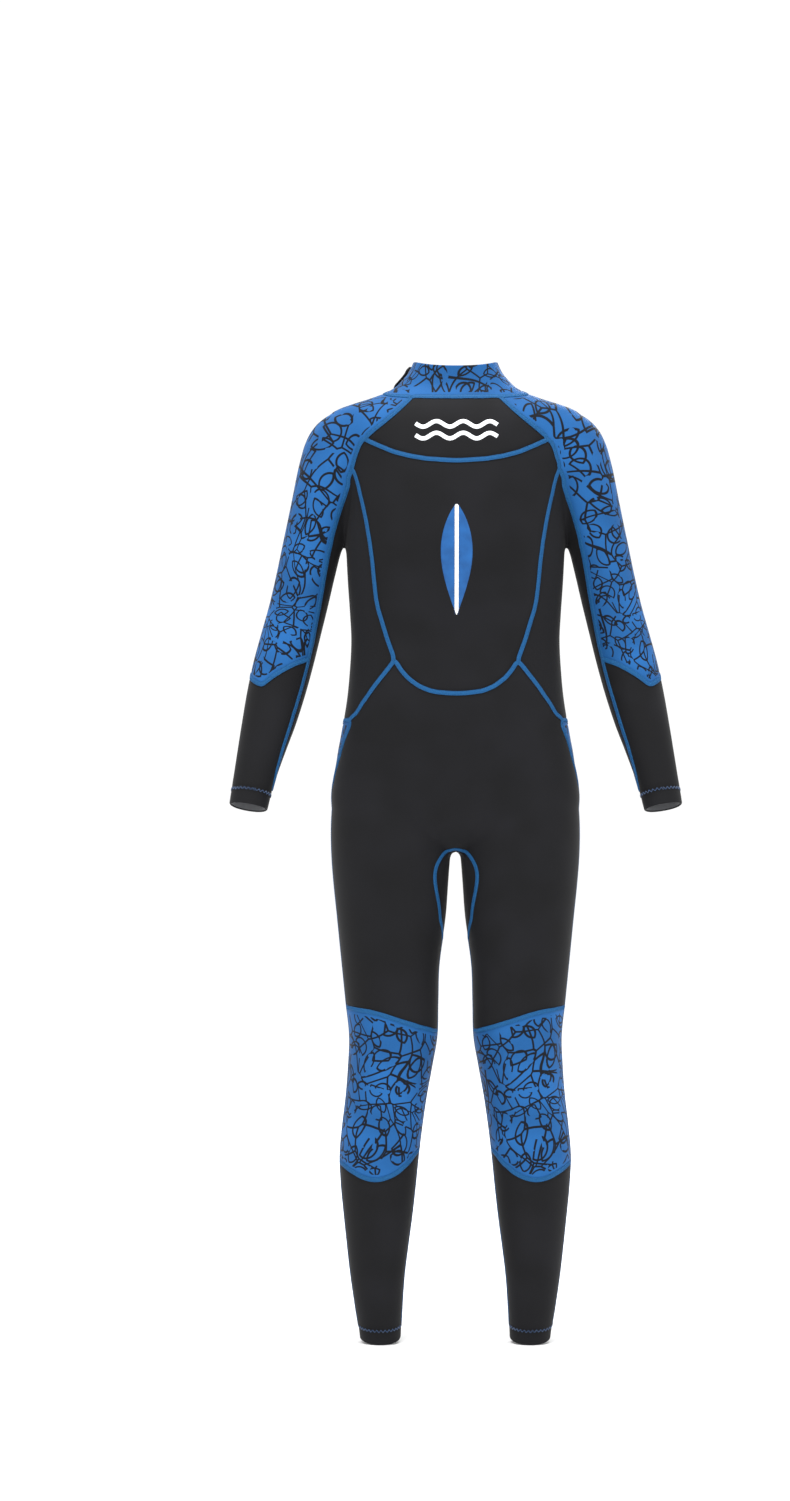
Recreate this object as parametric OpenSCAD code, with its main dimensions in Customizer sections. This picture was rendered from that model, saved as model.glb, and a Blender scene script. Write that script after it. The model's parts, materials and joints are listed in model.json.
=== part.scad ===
// Child's full wetsuit: flatlocked neoprene panels, a back zip and a collar that closes with a tab.
// +Z is up, the front of the suit faces -Y, and the wearer's left is +X.
// The origin is on the ground, midway between the ankle hems. All sizes are in millimetres.

/* [Neoprene] */
// Thickness of the neoprene sheet
sheet_t = 3; // [2:0.5:4]
// Extra room all round the body form
ease = 0; // [-1:0.5:2]
// Gap left at the butt joint between two panels
joint_gap = 0.5; // [0.3:0.1:0.8]

/* [Openings] */
// Height of the collar's top edge above the ankle hems
collar_top = 1120; // [1114:1:1122]
// Depth of the folded hem at each wrist
wrist_hem = 16; // [12:1:24]
// Depth of the folded hem at each ankle
ankle_hem = 15; // [12:1:24]
// Drop of the collar's top edge at the front
collar_dip = 10; // [0:1:12]

/* [Seams] */
// Width of a flatlock seam
seam_w = 5.5; // [4:0.5:7]
// Height of a flatlock seam over the fabric
seam_h = 0.7; // [0.5:0.1:1]
// Height of the transfer film of the chest marks
film_h = 0.4; // [0.3:0.1:0.6]

/* [Zip] */
// Length of the zip chain down the centre of the back
zip_len = 358; // [300:2:362]
// Pitch of the zip teeth
tooth_pitch = 5; // [4:0.5:6]
// Width of the zip slider
slider_w = 8; // [7:0.5:8]
// Length of the zip slider
slider_len = 17; // [15:0.5:20]
// Length of the pull from its cross bar to its tip
pull_len = 34; // [28:1:38]
// Radius of the eye in the pull
eye_r = 2.5; // [2:0.25:3]

/* [Collar tab] */
// Thickness of the collar tab
tab_t = 2.6; // [2:0.2:3]
// Thickness of each half of the hook-and-loop closure
patch_t = 0.9; // [0.7:0.1:1.1]

/* [Hidden] */

print_blue = "#2071C9";
thread_blue = "#2563A5";
black = "#2A2A2C";

// The body form: horizontal rings through rows [height, half width, front depth, back depth, spine depth]
TORSO = [
    [562, 30, 22, 30, 28], [576, 70, 44, 58, 55], [592, 112, 60, 76, 71], [612, 141, 68, 85, 76],
    [640, 140, 72, 85, 72.5], [671, 135, 75, 80, 67.6], [693, 131, 76.5, 75, 67.2], [734, 124, 77, 67.5, 66.3],
    [770, 120.5, 75.5, 65.5, 65.5], [803, 119, 75, 65.5, 64.8], [834, 120.5, 78, 67, 64.1],
    [871, 123, 83, 71, 63.3], [912, 125, 87, 74.5, 62.5], [960, 127, 87, 75.5, 61.4],
    [995, 132, 84.5, 74, 60.7], [1016, 139, 81.5, 71.5, 60.2], [1034, 145, 78, 68.5, 59.9],
    [1050, 147, 73.5, 65, 59.5], [1062, 141, 68.5, 61.5, 59.3], [1070, 123, 64.5, 59, 58.6],
    [1077, 101, 61, 56.5, 56.5], [1082, 87, 58.5, 54, 54], [1087, 76, 56.5, 51, 51], [1092, 68, 55.5, 48.5, 48.5],
    [1100, 60, 55, 45, 45], [1109, 53, 55, 42, 42], [1128, 45, 55, 38, 38]
];
// Rows [height, half width, middle x, middle y, front depth, back depth]
LEG = [
    [-14, 22.5, 85.5, 15.5, 24, 25], [8, 23.7, 86, 15, 25, 26], [40, 27, 87.7, 14, 27.5, 29], [77, 31, 89, 13, 30, 33],
    [111, 35, 88.8, 11.5, 33, 37.5], [145, 39, 88.3, 10, 36, 41.5], [180, 42.6, 88, 8.5, 39, 45.5],
    [214, 45, 87, 7, 41.5, 48], [248, 45.6, 83.5, 5, 43, 48], [282, 46, 79, 3, 45, 47], [316, 47.7, 74.6, 0, 47.5, 46.5],
    [351, 50, 71, -3, 49.5, 48], [390, 52.6, 72.5, -2, 52, 52], [433, 55.5, 74, -1, 55.5, 57], [488, 62, 73, 0, 60.5, 66],
    [530, 65.7, 73.6, 0, 63, 73], [560, 68, 73.4, 0, 65, 77], [590, 70.3, 71.5, 0, 65, 80], [616, 70, 70.3, 0, 63, 78],
    [640, 67.5, 69.5, 0, 58.5, 70], [665, 60, 66.5, 0, 49, 57], [690, 40, 62, 0, 32, 38]
];
ARM = [
    [586, 21.5, 241, -32.5, 22, 22], [612, 22.3, 235.5, -27, 23, 23], [630, 23.3, 232, -23, 24, 24],
    [652, 25, 227, -18, 25.5, 25.5], [680, 28, 220, -11, 28.5, 28.5], [707, 31, 213, -5, 31.5, 31.5],
    [741, 33.6, 205, 2, 34, 34], [775, 34.8, 197, 6.5, 35.5, 35.5], [810, 34.4, 188, 8, 35, 36], [844, 33.8, 179, 7.5, 35, 36],
    [878, 33.8, 171, 6, 36, 36.5], [912, 34.6, 163, 4, 38, 38], [940, 36.6, 155, 2.5, 40.5, 40.5],
    [967, 40, 146, 1, 43.5, 43.5], [995, 43.4, 137, 0, 46.5, 46.5], [1012, 44.2, 132, 0, 47, 47],
    [1028, 44, 127.3, 0, 47, 47], [1044, 40.5, 122, 0, 45, 45], [1056, 32, 117, 0, 38, 38], [1063, 16, 112, 0, 22, 22]
];
torso_round = 2.3;
limb_round = 2.08;
torso_sides = 28;
leg_sides = 14;
arm_sides = 12;
// Heights of the rings, closest where the form turns quickest
TORSO_RINGS = [563, 592, 640, 690, 760, 834, 912, 968, 1016, 1046, 1062, 1071, 1082, 1092, 1106, 1124];
LEG_RINGS = [-8, 40, 90, 145, 200, 250, 300, 351, 410, 470, 530, 580, 630, 688];
ARM_RINGS = [590, 632, 675, 715, 760, 810, 860, 912, 955, 995, 1028, 1050, 1062];
furrow_w = 28;
// How far the front and back halves of one panel run into each other
lap = 0.4;
reach = 220;
far = 1200;

// Outlines in the front view: [x, z] on the wearer's left, mirrored for the right
RAGLAN = [[30, 1100], [45.5, 1080], [73, 1053], [104, 1028], [113, 1011], [117, 996]];
SLEEVE_SEAM = [[117, 996], [127, 963], [141, 918], [151, 868], [163, 800], [175, 750], [190, 700], [204, 652], [213, 612]];
YOKE_SEAM = [[0, 1001.5], [35, 1004], [70, 1012], [104, 1028]];
CHEST_SEAM = [[0, 741], [30, 744], [54, 758], [70, 781], [84, 823], [90, 848], [94, 890], [101, 933], [110, 975], [117, 996]];
HIP_SEAM = [[69, 779], [94, 747], [113, 719], [126, 690], [136, 653], [143, 618]];
HIP_BACK = [[80, 797], [87, 756], [95, 716], [106, 684], [122, 645], [143, 618]];
GUSSET = [[0, 565.5], [11, 562.5], [20, 553], [25, 539], [24, 521], [20, 500], [16, 469], [12, 444]];
KNEE_TOP = [[132, 385], [96, 382], [66, 373], [40, 364], [10, 353]];
KNEE_LOW = [[142, 216], [126, 204], [106, 193], [87, 190], [65, 199], [46, 217], [28, 240]];
FOREARM_SEAM = [[246, 729], [228, 745], [206, 762], [186, 774], [160, 784]];
SIDE_BACK = [[117, 996], [108, 960], [99, 910], [93, 860], [88, 816], [80, 797]];
WAIST_BACK = [[0, 700], [10, 700], [34, 716], [60, 758], [80, 797]];
SEAT_LOW = [[0, 590], [24, 583], [60, 560], [100, 570], [128, 596], [150, 618]];
// Where the front of the body and legs meets the back: [y, z]
SPLIT = [[17, -20], [16, 8], [14, 77], [11, 145], [8, 214], [4, 282], [-1, 351], [1, 433], [2, 560], [2, 1200]];
collar_seam_z = 1087;
collar_seam_rise = 0.19;

zip_top = [0, 59.1, 1074];
zip_tilt = 1.22;
opening_half = 8;
tooth_reach = 0.8;
tooth_root = 4;
chain_outer = -2.2;
chain_inner = -5.2;
stop_len = 4;
slider_rest = stop_len + slider_len / 2 + 0.5;
slider_out = -0.2;
plate_t = 1.4;
web_t = 0.9;
bridge_top = 5;
bar_y = 2.8;
bar_r = 1;
bar_half = 3.6;
plate_w = 9;
pull_t = 1.6;
tape_half = 14;

wrist_end = [235.2, -26.4, 613.5];
wrist_lean = 12.8;
wrist_out = 10;
// The ankle hems are cut on a slope, lowest at the front
ankle_rise = 0.19;
ankle_front = -9.07;
// Puts the origin midway between the front and the back of the suit
middle_y = 3.1;

// Row of the table that z falls in
function row(t, z, i = 0) = i >= len(t) - 2 || z < t[i + 1][0] ? i : row(t, z, i + 1);
// Slope of column c at row i
function slope(t, c, i) = let(a = max(i - 1, 0), b = min(i + 1, len(t) - 1)) (t[b][c] - t[a][c]) / (t[b][0] - t[a][0]);
// Column c at height z, on a smooth curve through the table's rows
function at(t, c, z) =
    let(i = row(t, z), h = t[i + 1][0] - t[i][0], u = min(max((z - t[i][0]) / h, 0), 1))
    (2 * u ^ 3 - 3 * u ^ 2 + 1) * t[i][c] + (u ^ 3 - 2 * u ^ 2 + u) * h * slope(t, c, i)
    + (3 * u ^ 2 - 2 * u ^ 3) * t[i + 1][c] + (u ^ 3 - u ^ 2) * h * slope(t, c, i + 1);
// Signed power, which squares a circle into a superellipse
function bow(v, n) = sign(v) * abs(v) ^ (2 / n);

function torso_ring(z, grow) =
    let(wide = at(TORSO, 1, z) + grow, front = at(TORSO, 2, z) + grow, back = at(TORSO, 3, z) + grow,
        furrow = at(TORSO, 3, z) - at(TORSO, 4, z))
    [for (i = [0 : torso_sides - 1])
        let(a = 360 * i / torso_sides, x = wide * bow(cos(a), torso_round), y = bow(sin(a), torso_round))
        [x, y < 0 ? y * front : y * back - furrow * exp(-(x / furrow_w) ^ 2) * y, z]];
function limb_ring(t, z, grow, sides) =
    let(wide = at(t, 1, z) + grow, front = at(t, 4, z) + grow, back = at(t, 5, z) + grow)
    [for (i = [0 : sides - 1])
        let(a = 360 * i / sides, y = bow(sin(a), limb_round))
        [at(t, 2, z) + wide * bow(cos(a), limb_round), at(t, 3, z) + y * (y < 0 ? front : back), z]];

// Smooth curve through hand-placed points, with steps pieces between two of them
function curve(p, steps = 2) = [
    for (i = [0 : len(p) - 2], k = [0 : steps - (i == len(p) - 2 ? 0 : 1)])
        let(u = k / steps, a = p[max(i - 1, 0)], b = p[i], c = p[i + 1], d = p[min(i + 2, len(p) - 1)])
        b + 0.5 * u * (c - a + u * (2 * a - 5 * b + 4 * c - d + u * (3 * (b - c) + d - a)))
];
function flip(p) = [for (i = [len(p) - 1 : -1 : 0]) p[i]];
// The same curve carried on over the mirror line x = 0
function both(p) = concat([for (q = flip(p)) [-q[0], q[1]]], [for (i = [1 : len(p) - 1]) p[i]]);
function unit(v) = v / norm(v);
function side_of(p, i) = let(d = unit(p[min(i + 1, len(p) - 1)] - p[max(i - 1, 0)])) [-d[1], d[0]];
// Outline of a strip that runs along the curve p
function strip(p, w) = concat(
    [for (i = [0 : len(p) - 1]) p[i] + side_of(p, i) * w / 2],
    [for (i = [len(p) - 1 : -1 : 0]) p[i] - side_of(p, i) * w / 2]);

// Closed solid through the rings r, with its two ends moved up by low and high
module sweep(rough, low = 0, high = 0) {
    last = len(rough) - 1;
    r = [for (i = [0 : last]) [for (q = rough[i]) q + [0, 0, i == 0 ? low : i == last ? high : 0]]];
    n = len(r[0]);
    walls = [for (i = [0 : len(r) - 2], j = [0 : n - 1])
        let(a = i * n + j, b = i * n + (j + 1) % n) each [[a, a + n, b + n], [a, b + n, b]]];
    floor_face = [for (j = [0 : n - 1]) j];
    roof_face = [for (j = [n - 1 : -1 : 0]) (len(r) - 1) * n + j];
    polyhedron([for (ring = r) each ring], concat(walls, [floor_face, roof_face]));
}

// The body form, grown by grow; a cutter runs on past the neck, wrists and ankles
module form(grow, cutter = false) {
    g = grow + ease;
    past = cutter ? 3 : 0;
    sweep([for (z = TORSO_RINGS) torso_ring(z, g)], -g, past);
    for (s = [0, 1]) mirror([s, 0, 0]) {
        sweep([for (z = LEG_RINGS) limb_ring(LEG, z, g, leg_sides)], -past, g);
        sweep([for (z = ARM_RINGS) limb_ring(ARM, z, g, arm_sides)], -past, g);
    }
}

// One layer of the suit, from inner to outer beyond the body form, kept inside the children's space.
// The resize keeps the size and makes the layer one mesh.
module layer(inner, outer) {
    resize([0, 0, 0]) intersection() {
        difference() {
            form(outer);
            form(inner, true);
        }
        union() children();
    }
}
module sheet() { layer(-sheet_t, 0) children(); }
module raised(h = seam_h) { layer(0, h) children(); }

// Spaces that cut the panels out of the layer
module mirrored(s) { mirror([s < 0 ? 1 : 0, 0, 0]) children(); }
module through() { translate([0, reach, 0]) rotate([90, 0, 0]) linear_extrude(2 * reach) children(); }
module fitted() { offset(delta = -joint_gap / 2) children(); }
module front_space(gap = joint_gap) {
    rotate([90, 0, 90]) translate([0, 0, -reach]) linear_extrude(2 * reach)
        polygon(concat([[-reach, 1200], [-reach, -20]], [for (p = SPLIT) [p[0] - gap / 2, p[1]]]));
}
module back_space(gap = joint_gap) {
    rotate([90, 0, 90]) translate([0, 0, -reach]) linear_extrude(2 * reach)
        polygon(concat([[reach, 1200], [reach, -20]], [for (p = SPLIT) [p[0] + gap / 2, p[1]]]));
}
module split_space(w) {
    rotate([90, 0, 90]) translate([0, 0, -reach]) linear_extrude(2 * reach) polygon(strip(SPLIT, w));
}
// Below (or above) the seam that joins the collar to the body, lift higher
module below_collar(lift = -joint_gap / 2, h = 600) {
    multmatrix([[1, 0, 0, 0], [0, 1, 0, 0], [0, collar_seam_rise, 1, collar_seam_z + lift - h], [0, 0, 0, 1]])
        translate([-reach, -reach, 0]) cube([2 * reach, 2 * reach, h]);
}
module above_collar(lift = joint_gap / 2, h = 60) { below_collar(lift + h, h); }
module under_rim() {
    edge = curve([[-90, -1.5], [-55, -1], [-32, -0.42], [-10, -0.08], [14, 0], [90, 0]]);
    rotate([90, 0, 90]) translate([0, 0, -reach]) linear_extrude(2 * reach)
        polygon(concat([[90, 0], [-90, 0]], [for (q = edge) [q[0], collar_top + collar_dip * min(q[1], 0)]]));
}
// Everything on the arm that lies further down than start from the cuff's end
module wrist_space(s, start, h) {
    mirrored(s) translate(wrist_end) rotate([-wrist_lean, -wrist_out, 0])
        translate([-50, -50, start]) cube([100, 100, h]);
}
module beyond_wrist(s, start) { wrist_space(s, start - 100, 100); }
module back_opening(half = opening_half) { translate([-half, 0, zip_top[2] - zip_len]) cube([2 * half, reach, 500]); }

// Collar and its closure
module collar() {
    color(print_blue) sheet() intersection() {
        above_collar();
        difference() {
            under_rim();
            back_opening(opening_half / 2);
        }
    }
}
module tab_space(x0, x1, low, high) {
    intersection() {
        above_collar(low);
        translate([x0, -5, 1000]) cube([x1 - x0, reach, high - 1000]);
    }
}
module collar_tab() {
    color(black) layer(2 * patch_t + 0.4, 2 * patch_t + 0.4 + tab_t) tab_space(-90, 14, 3.5, collar_top - 3.5);
}
module hook_patch() {
    color("#222224") layer(patch_t + 0.4, 2 * patch_t + 0.4) tab_space(-90, -24, 6, collar_top - 6);
}
module loop_patch() { color("#303033") raised(patch_t) tab_space(-90, -18, 5, collar_top - 5); }

// Front of the body
module chest_yoke() {
    color(black) sheet() intersection() {
        front_space();
        below_collar();
        through() fitted() polygon(concat(both(curve(YOKE_SEAM)), flip(both_arch(RAGLAN, 3))));
    }
}
// Both raglan seams down to the point numbered last, joined above the collar
function both_arch(p, last) = let(c = [for (q = curve(p)) if (q[1] > p[last][1] + 0.01) q])
    concat([for (q = flip(c)) [-q[0], q[1]]], c);
module chest_panel() {
    low = curve(CHEST_SEAM);
    corner = [for (q = curve(RAGLAN)) if (q[1] < 1027.9 && q[1] > 996.1) q];
    top = curve(YOKE_SEAM);
    half_line = concat(low, flip(corner), flip(top));
    color(black) sheet() intersection() {
        front_space();
        through() fitted() polygon(concat(half_line, [for (q = flip(half_line)) [-q[0], q[1]]]));
    }
}
module gusset_outline(grow = 0) {
    offset(delta = grow) polygon(both(concat(curve(GUSSET), [[0, 430]])));
}
module front_panel() {
    half_line = concat([for (q = curve(CHEST_SEAM)) if (q[1] < 778) q], curve(HIP_SEAM), [[150, 600]], curve(KNEE_TOP), [[0, 352]]);
    color(black) sheet() intersection() {
        front_space();
        through() difference() {
            fitted() polygon(concat(half_line, [for (q = flip(half_line)) [-q[0], q[1]]]));
            gusset_outline(joint_gap / 2);
        }
    }
}
module crotch_gusset() { color(black) sheet() through() gusset_outline(-joint_gap / 2); }

// Sides, from the hip through the armpit to the inside of the wrist
module side_panel(s) {
    arm_line = concat(curve(SLEEVE_SEAM), [[226, 560], [160, 560], [157, 707]]);
    hip_line = [for (q = curve(HIP_SEAM)) if (q[1] > 707) q];
    hip_back = [for (q = curve(HIP_BACK)) if (q[1] > 707) q];
    chest_line = [for (q = curve(CHEST_SEAM)) if (q[1] > 779) q];
    color(black) sheet() difference() {
        mirrored(s) union() {
            intersection() {
                front_space(-lap);
                through() fitted() polygon(concat(flip(arm_line), flip(chest_line), hip_line));
            }
            intersection() {
                back_space(-lap);
                through() fitted() polygon(concat(flip(arm_line), curve(SIDE_BACK), hip_back));
            }
        }
        beyond_wrist(s, wrist_hem + joint_gap / 2);
    }
}
module hip_panel(s) {
    front_line = [for (q = curve(HIP_SEAM)) if (q[1] < 707) q];
    back_line = [for (q = curve(HIP_BACK)) if (q[1] < 707) q];
    color(print_blue) sheet() mirrored(s) union() {
        intersection() {
            front_space(-lap);
            through() fitted() polygon(concat([[150, 707]], [[119.5, 707]], front_line));
        }
        intersection() {
            back_space(-lap);
            through() fitted() polygon(concat([[150, 707]], [[98, 707]], back_line));
        }
    }
}

// Sleeves
module inside_of_arm() { polygon(concat(curve(SLEEVE_SEAM), [[226, 560], [117, 560]])); }
module sleeve(s) {
    color(print_blue) sheet() intersection() {
        below_collar();
        mirrored(s) through() fitted() difference() {
            polygon(concat(curve(RAGLAN), flip(curve(FOREARM_SEAM)), [[280, 729], [280, 1110], [30, 1110]]));
            inside_of_arm();
        }
    }
}
module forearm_panel(s) {
    color(black) sheet() difference() {
        mirrored(s) through() fitted() difference() {
            polygon(concat(curve(FOREARM_SEAM), [[160, 560], [300, 560], [300, 729]]));
            inside_of_arm();
        }
        beyond_wrist(s, wrist_hem + joint_gap / 2);
    }
}
module wrist_hem_ring(s) { color(black) sheet() wrist_space(s, 0, wrist_hem - joint_gap / 2); }

// Legs
// Part of a leg between two heights over the sloping cut of its hem
module leg_space(s, low, high) {
    mirrored(s) multmatrix([[1, 0, 0, 0], [0, 1, 0, 0], [0, ankle_rise, 1, low - ankle_rise * ankle_front], [0, 0, 0, 1]])
        translate([joint_gap / 4, -reach, 0]) cube([reach, 2 * reach, high - low]);
}
module above_ankle(s) { leg_space(s, ankle_hem + joint_gap / 2, far); }
module knee_panel(s) {
    color(print_blue) sheet() intersection() {
        front_space();
        mirrored(s) through() fitted() polygon(concat(curve(KNEE_TOP), [[0, 352], [0, 240]], flip(curve(KNEE_LOW)), [[150, 385]]));
    }
}
module shin_panel(s) {
    color(black) sheet() intersection() {
        front_space();
        above_ankle(s);
        mirrored(s) through() fitted() polygon(concat(curve(KNEE_LOW), [[0, 240], [0, 0], [160, 0], [160, 216]]));
    }
}
module back_leg(s) {
    color(black) sheet() intersection() {
        back_space();
        above_ankle(s);
        mirrored(s) through() fitted() difference() {
            polygon(concat(curve(SEAT_LOW), [[160, 0], [0, 0]]));
            gusset_outline(joint_gap / 2);
        }
    }
}
module ankle_hem_ring(s) { color(black) sheet() leg_space(s, 0, ankle_hem - joint_gap / 2); }

// Back of the body
module seat_panel() {
    half_line = concat(curve(WAIST_BACK), curve(HIP_BACK), flip(curve(SEAT_LOW)));
    color(black) sheet() intersection() {
        back_space();
        through() difference() {
            fitted() polygon(concat(half_line, [for (q = flip(half_line)) [-q[0], q[1]]]));
            gusset_outline(joint_gap / 2);
            translate([-opening_half, zip_top[2] - zip_len]) square([2 * opening_half, 60]);
        }
    }
}
module back_panel(s) {
    color(black) sheet() intersection() {
        back_space();
        below_collar();
        mirrored(s) through() fitted() difference() {
            polygon(concat(curve(RAGLAN), curve(SIDE_BACK), flip(curve(WAIST_BACK)), [[0, 1110], [30, 1110]]));
            square([2 * opening_half, 2 * far], center = true);
        }
    }
}

// Zip
module on_zip() { translate(zip_top) rotate([zip_tilt, 0, 0]) children(); }
module zip_tape(s) {
    color("#1B1B1D") layer(-sheet_t - 1.4, -sheet_t - 0.4) mirrored(s)
        translate([tooth_root + 0.1, 0, zip_top[2] - zip_len - 4])
            cube([tape_half - tooth_root, reach, zip_len + 24]);
}
module zip_teeth(s) {
    count = floor((zip_len - 2 * stop_len - 2) / tooth_pitch);
    comb = [for (i = [0 : count - 1])
        let(z = -stop_len - 1 - i * tooth_pitch)
        each [[2.6, z], [tooth_reach, z - 0.2], [tooth_reach, z - tooth_pitch / 2], [2.6, z - tooth_pitch / 2 - 0.2]]];
    last_z = -stop_len - 1 - count * tooth_pitch;
    color("#17181A") mirrored(s) on_zip() translate([0, chain_outer, 0]) rotate([90, 0, 0])
        linear_extrude(chain_outer - chain_inner)
            polygon(concat([[tooth_root, -stop_len - 1]], comb, [[2.6, last_z], [tooth_root, last_z]]));
}
module zip_stops() {
    color("#17181A") on_zip() {
        for (s = [-1, 1])
            mirrored(s) translate([tooth_reach, chain_inner, -stop_len])
                cube([tooth_root - tooth_reach, chain_outer - chain_inner, stop_len]);
        translate([-tooth_root, chain_inner, -zip_len]) cube([2 * tooth_root, chain_outer - chain_inner, stop_len]);
    }
}
module slider_plate(y) {
    translate([0, y, 0]) rotate([90, 0, 0]) linear_extrude(plate_t)
        offset(r = 2, $fn = 24) square([slider_w - 4, slider_len - 4], center = true);
}
module zip_slider() {
    color("#202124") on_zip() translate([0, 0, -slider_rest]) {
        slider_plate(slider_out);
        slider_plate(chain_inner - 0.4);
        translate([-web_t / 2, chain_inner - 0.4 - plate_t / 2, -2])
            cube([web_t, slider_out - chain_inner, slider_len / 2]);
        translate([-1.2, slider_out - 0.2, -5.4]) cube([2.4, bridge_top - slider_out, 2]);
        translate([-1.2, slider_out - 0.2, 3.4]) cube([2.4, bridge_top - slider_out, 2]);
        translate([-1.2, bridge_top - 0.6, -5.4]) cube([2.4, 1.4, 10.8]);
    }
}
module zip_pull() {
    color("#202124") on_zip() translate([0, bar_y, -slider_rest]) difference() {
        union() {
            rotate([0, 90, 0]) cylinder(r = bar_r, h = 2 * bar_half, center = true, $fn = 32);
            for (s = [-1, 1]) mirrored(s) translate([2.2, -pull_t / 2, -9]) cube([bar_half - 2.2, pull_t, 9]);
            translate([-plate_w / 2, -pull_t / 2, -pull_len + 3]) cube([plate_w, pull_t, pull_len - 11]);
            translate([0, pull_t / 2, -pull_len + plate_w / 2]) rotate([90, 0, 0])
                cylinder(d = plate_w, h = pull_t, $fn = 48);
        }
        translate([0, 5, -pull_len + plate_w / 2 + 1]) rotate([90, 0, 0]) cylinder(r = eye_r, h = 10, $fn = 48);
    }
}
module zip_end_patch() {
    color(black) raised() intersection() {
        back_space();
        through() end_patch_area();
    }
}
module zip_baffle() {
    color("#3A3B3E") layer(-sheet_t - 8.8, -sheet_t - 6.6)
        translate([-24, 0, zip_top[2] - zip_len - 8]) cube([48, reach, zip_len + 32]);
}

// Marks on the chest
wave_len = 30;
function wave(x0, x1, z, tall) = [for (x = [x0 : 6 : x1]) [x, z + tall * sin(360 * x / wave_len)]];
module yoke_mark() {
    color("white") raised(film_h) intersection() {
        front_space();
        through() for (z = [1030, 1043]) polygon(strip(wave(-45, 45, z, 3.2), 4.6));
    }
}
// Half of the board outline, from its tail to its tip
function board(half, z0, z1) = [for (i = [0 : 8]) let(u = i / 8) [half * sin(180 * u ^ 1.25) ^ 0.75, z0 + (z1 - z0) * u]];
module board_outline(half, z0, z1) {
    polygon(concat(board(half, z0, z1), [for (q = flip(board(half, z0, z1))) [-q[0], q[1]]]));
}
module chest_mark() {
    color(print_blue) raised(film_h) intersection() {
        front_space();
        through() difference() {
            board_outline(18, 822, 957);
            translate([-2.4, 700]) square([4.8, 400]);
        }
    }
}
module chest_mark_stripe() {
    color("white") raised(film_h) intersection() {
        front_space();
        through() intersection() {
            board_outline(18, 822, 957);
            translate([-2.2, 700]) square([4.4, 400]);
        }
    }
}

// Flatlock seams; where two meet, one of them stops at the other's edge
module line_area(p, w = seam_w) { polygon(strip(p, w)); }
module both_sides() { for (s = [0, 1]) mirror([s, 0]) children(); }
module sleeve_lines(w = seam_w) {
    both_sides() {
        line_area(curve(RAGLAN), w);
        line_area(curve(SLEEVE_SEAM), w);
    }
}
module hip_line(p, w = seam_w) { both_sides() line_area(curve(p), w); }
module end_patch_area(r = 4) {
    offset(r = r, $fn = 16) translate([-9, zip_top[2] - zip_len - 12]) square([18, 10]);
}
clear_w = seam_w + 0.2;

module seam_collar() {
    color(thread_blue) raised() {
        above_collar(-seam_w / 2, seam_w);
        tab_space(14.5, 19, 3.5, collar_top - 3);
    }
}
module seam_yoke() {
    color(thread_blue) raised() intersection() {
        front_space();
        through() difference() {
            line_area(both(curve(YOKE_SEAM)));
            sleeve_lines(clear_w);
        }
    }
}
module seam_chest() {
    color(thread_blue) raised() intersection() {
        front_space();
        through() difference() {
            line_area(both(curve(CHEST_SEAM)));
            sleeve_lines(clear_w);
            hip_line(HIP_SEAM, clear_w);
        }
    }
}
module seam_gusset() { color(thread_blue) raised() through() line_area(both(curve(GUSSET))); }
module seam_back() {
    color(thread_blue) raised() intersection() {
        back_space(2 * seam_w);
        through() difference() {
            union() {
                both_sides() line_area(curve(WAIST_BACK));
                line_area(both(curve(SEAT_LOW)));
            }
            gusset_outline(seam_w / 2 + 0.1);
            hip_line(HIP_BACK, clear_w);
            end_patch_area(4.1);
        }
    }
}
module seam_back_side(s) {
    color(thread_blue) raised() intersection() {
        back_space();
        mirrored(s) through() difference() {
            line_area(curve(SIDE_BACK));
            sleeve_lines(clear_w);
            hip_line(HIP_BACK, clear_w);
            hip_line(WAIST_BACK, clear_w);
        }
    }
}
module seam_sleeve(s) {
    color(thread_blue) raised() difference() {
        mirrored(s) intersection() {
            below_collar(-seam_w / 2 - 0.1);
            through() intersection() {
                sleeve_lines();
                square([far, 2 * far]);
            }
        }
        beyond_wrist(s, wrist_hem);
    }
}
module seam_hip(s) {
    color(thread_blue) raised() mirrored(s) union() {
        intersection() {
            front_space();
            through() line_area(curve(HIP_SEAM));
        }
        intersection() {
            back_space();
            through() line_area(curve(HIP_BACK));
        }
        translate([100, -reach, 707 - seam_w / 2]) cube([60, 2 * reach, seam_w]);
    }
}
module seam_knee(s) {
    color(thread_blue) raised() mirrored(s) intersection() {
        front_space(clear_w - 1);
        through() {
            line_area(curve(KNEE_TOP));
            line_area(curve(KNEE_LOW));
        }
    }
}
module seam_leg(s) {
    color(thread_blue) raised() intersection() {
        split_space(seam_w - 1);
        mirrored(s) translate([0, 0, ankle_hem + 5]) through() difference() {
            union() {
                translate([80, 0]) square([80, 620 - ankle_hem]);
                square([80, 420 - ankle_hem]);
            }
            translate([0, -ankle_hem - 5]) hip_line(HIP_SEAM, clear_w);
            translate([0, -ankle_hem - 5]) hip_line(HIP_BACK, clear_w);
            translate([0, -ankle_hem - 5]) hip_line(SEAT_LOW, clear_w);
        }
    }
}
module seam_forearm(s) {
    color(thread_blue) raised() mirrored(s) through() difference() {
        line_area(curve(FOREARM_SEAM));
        inside_of_arm();
        sleeve_lines(clear_w);
    }
}

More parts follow.
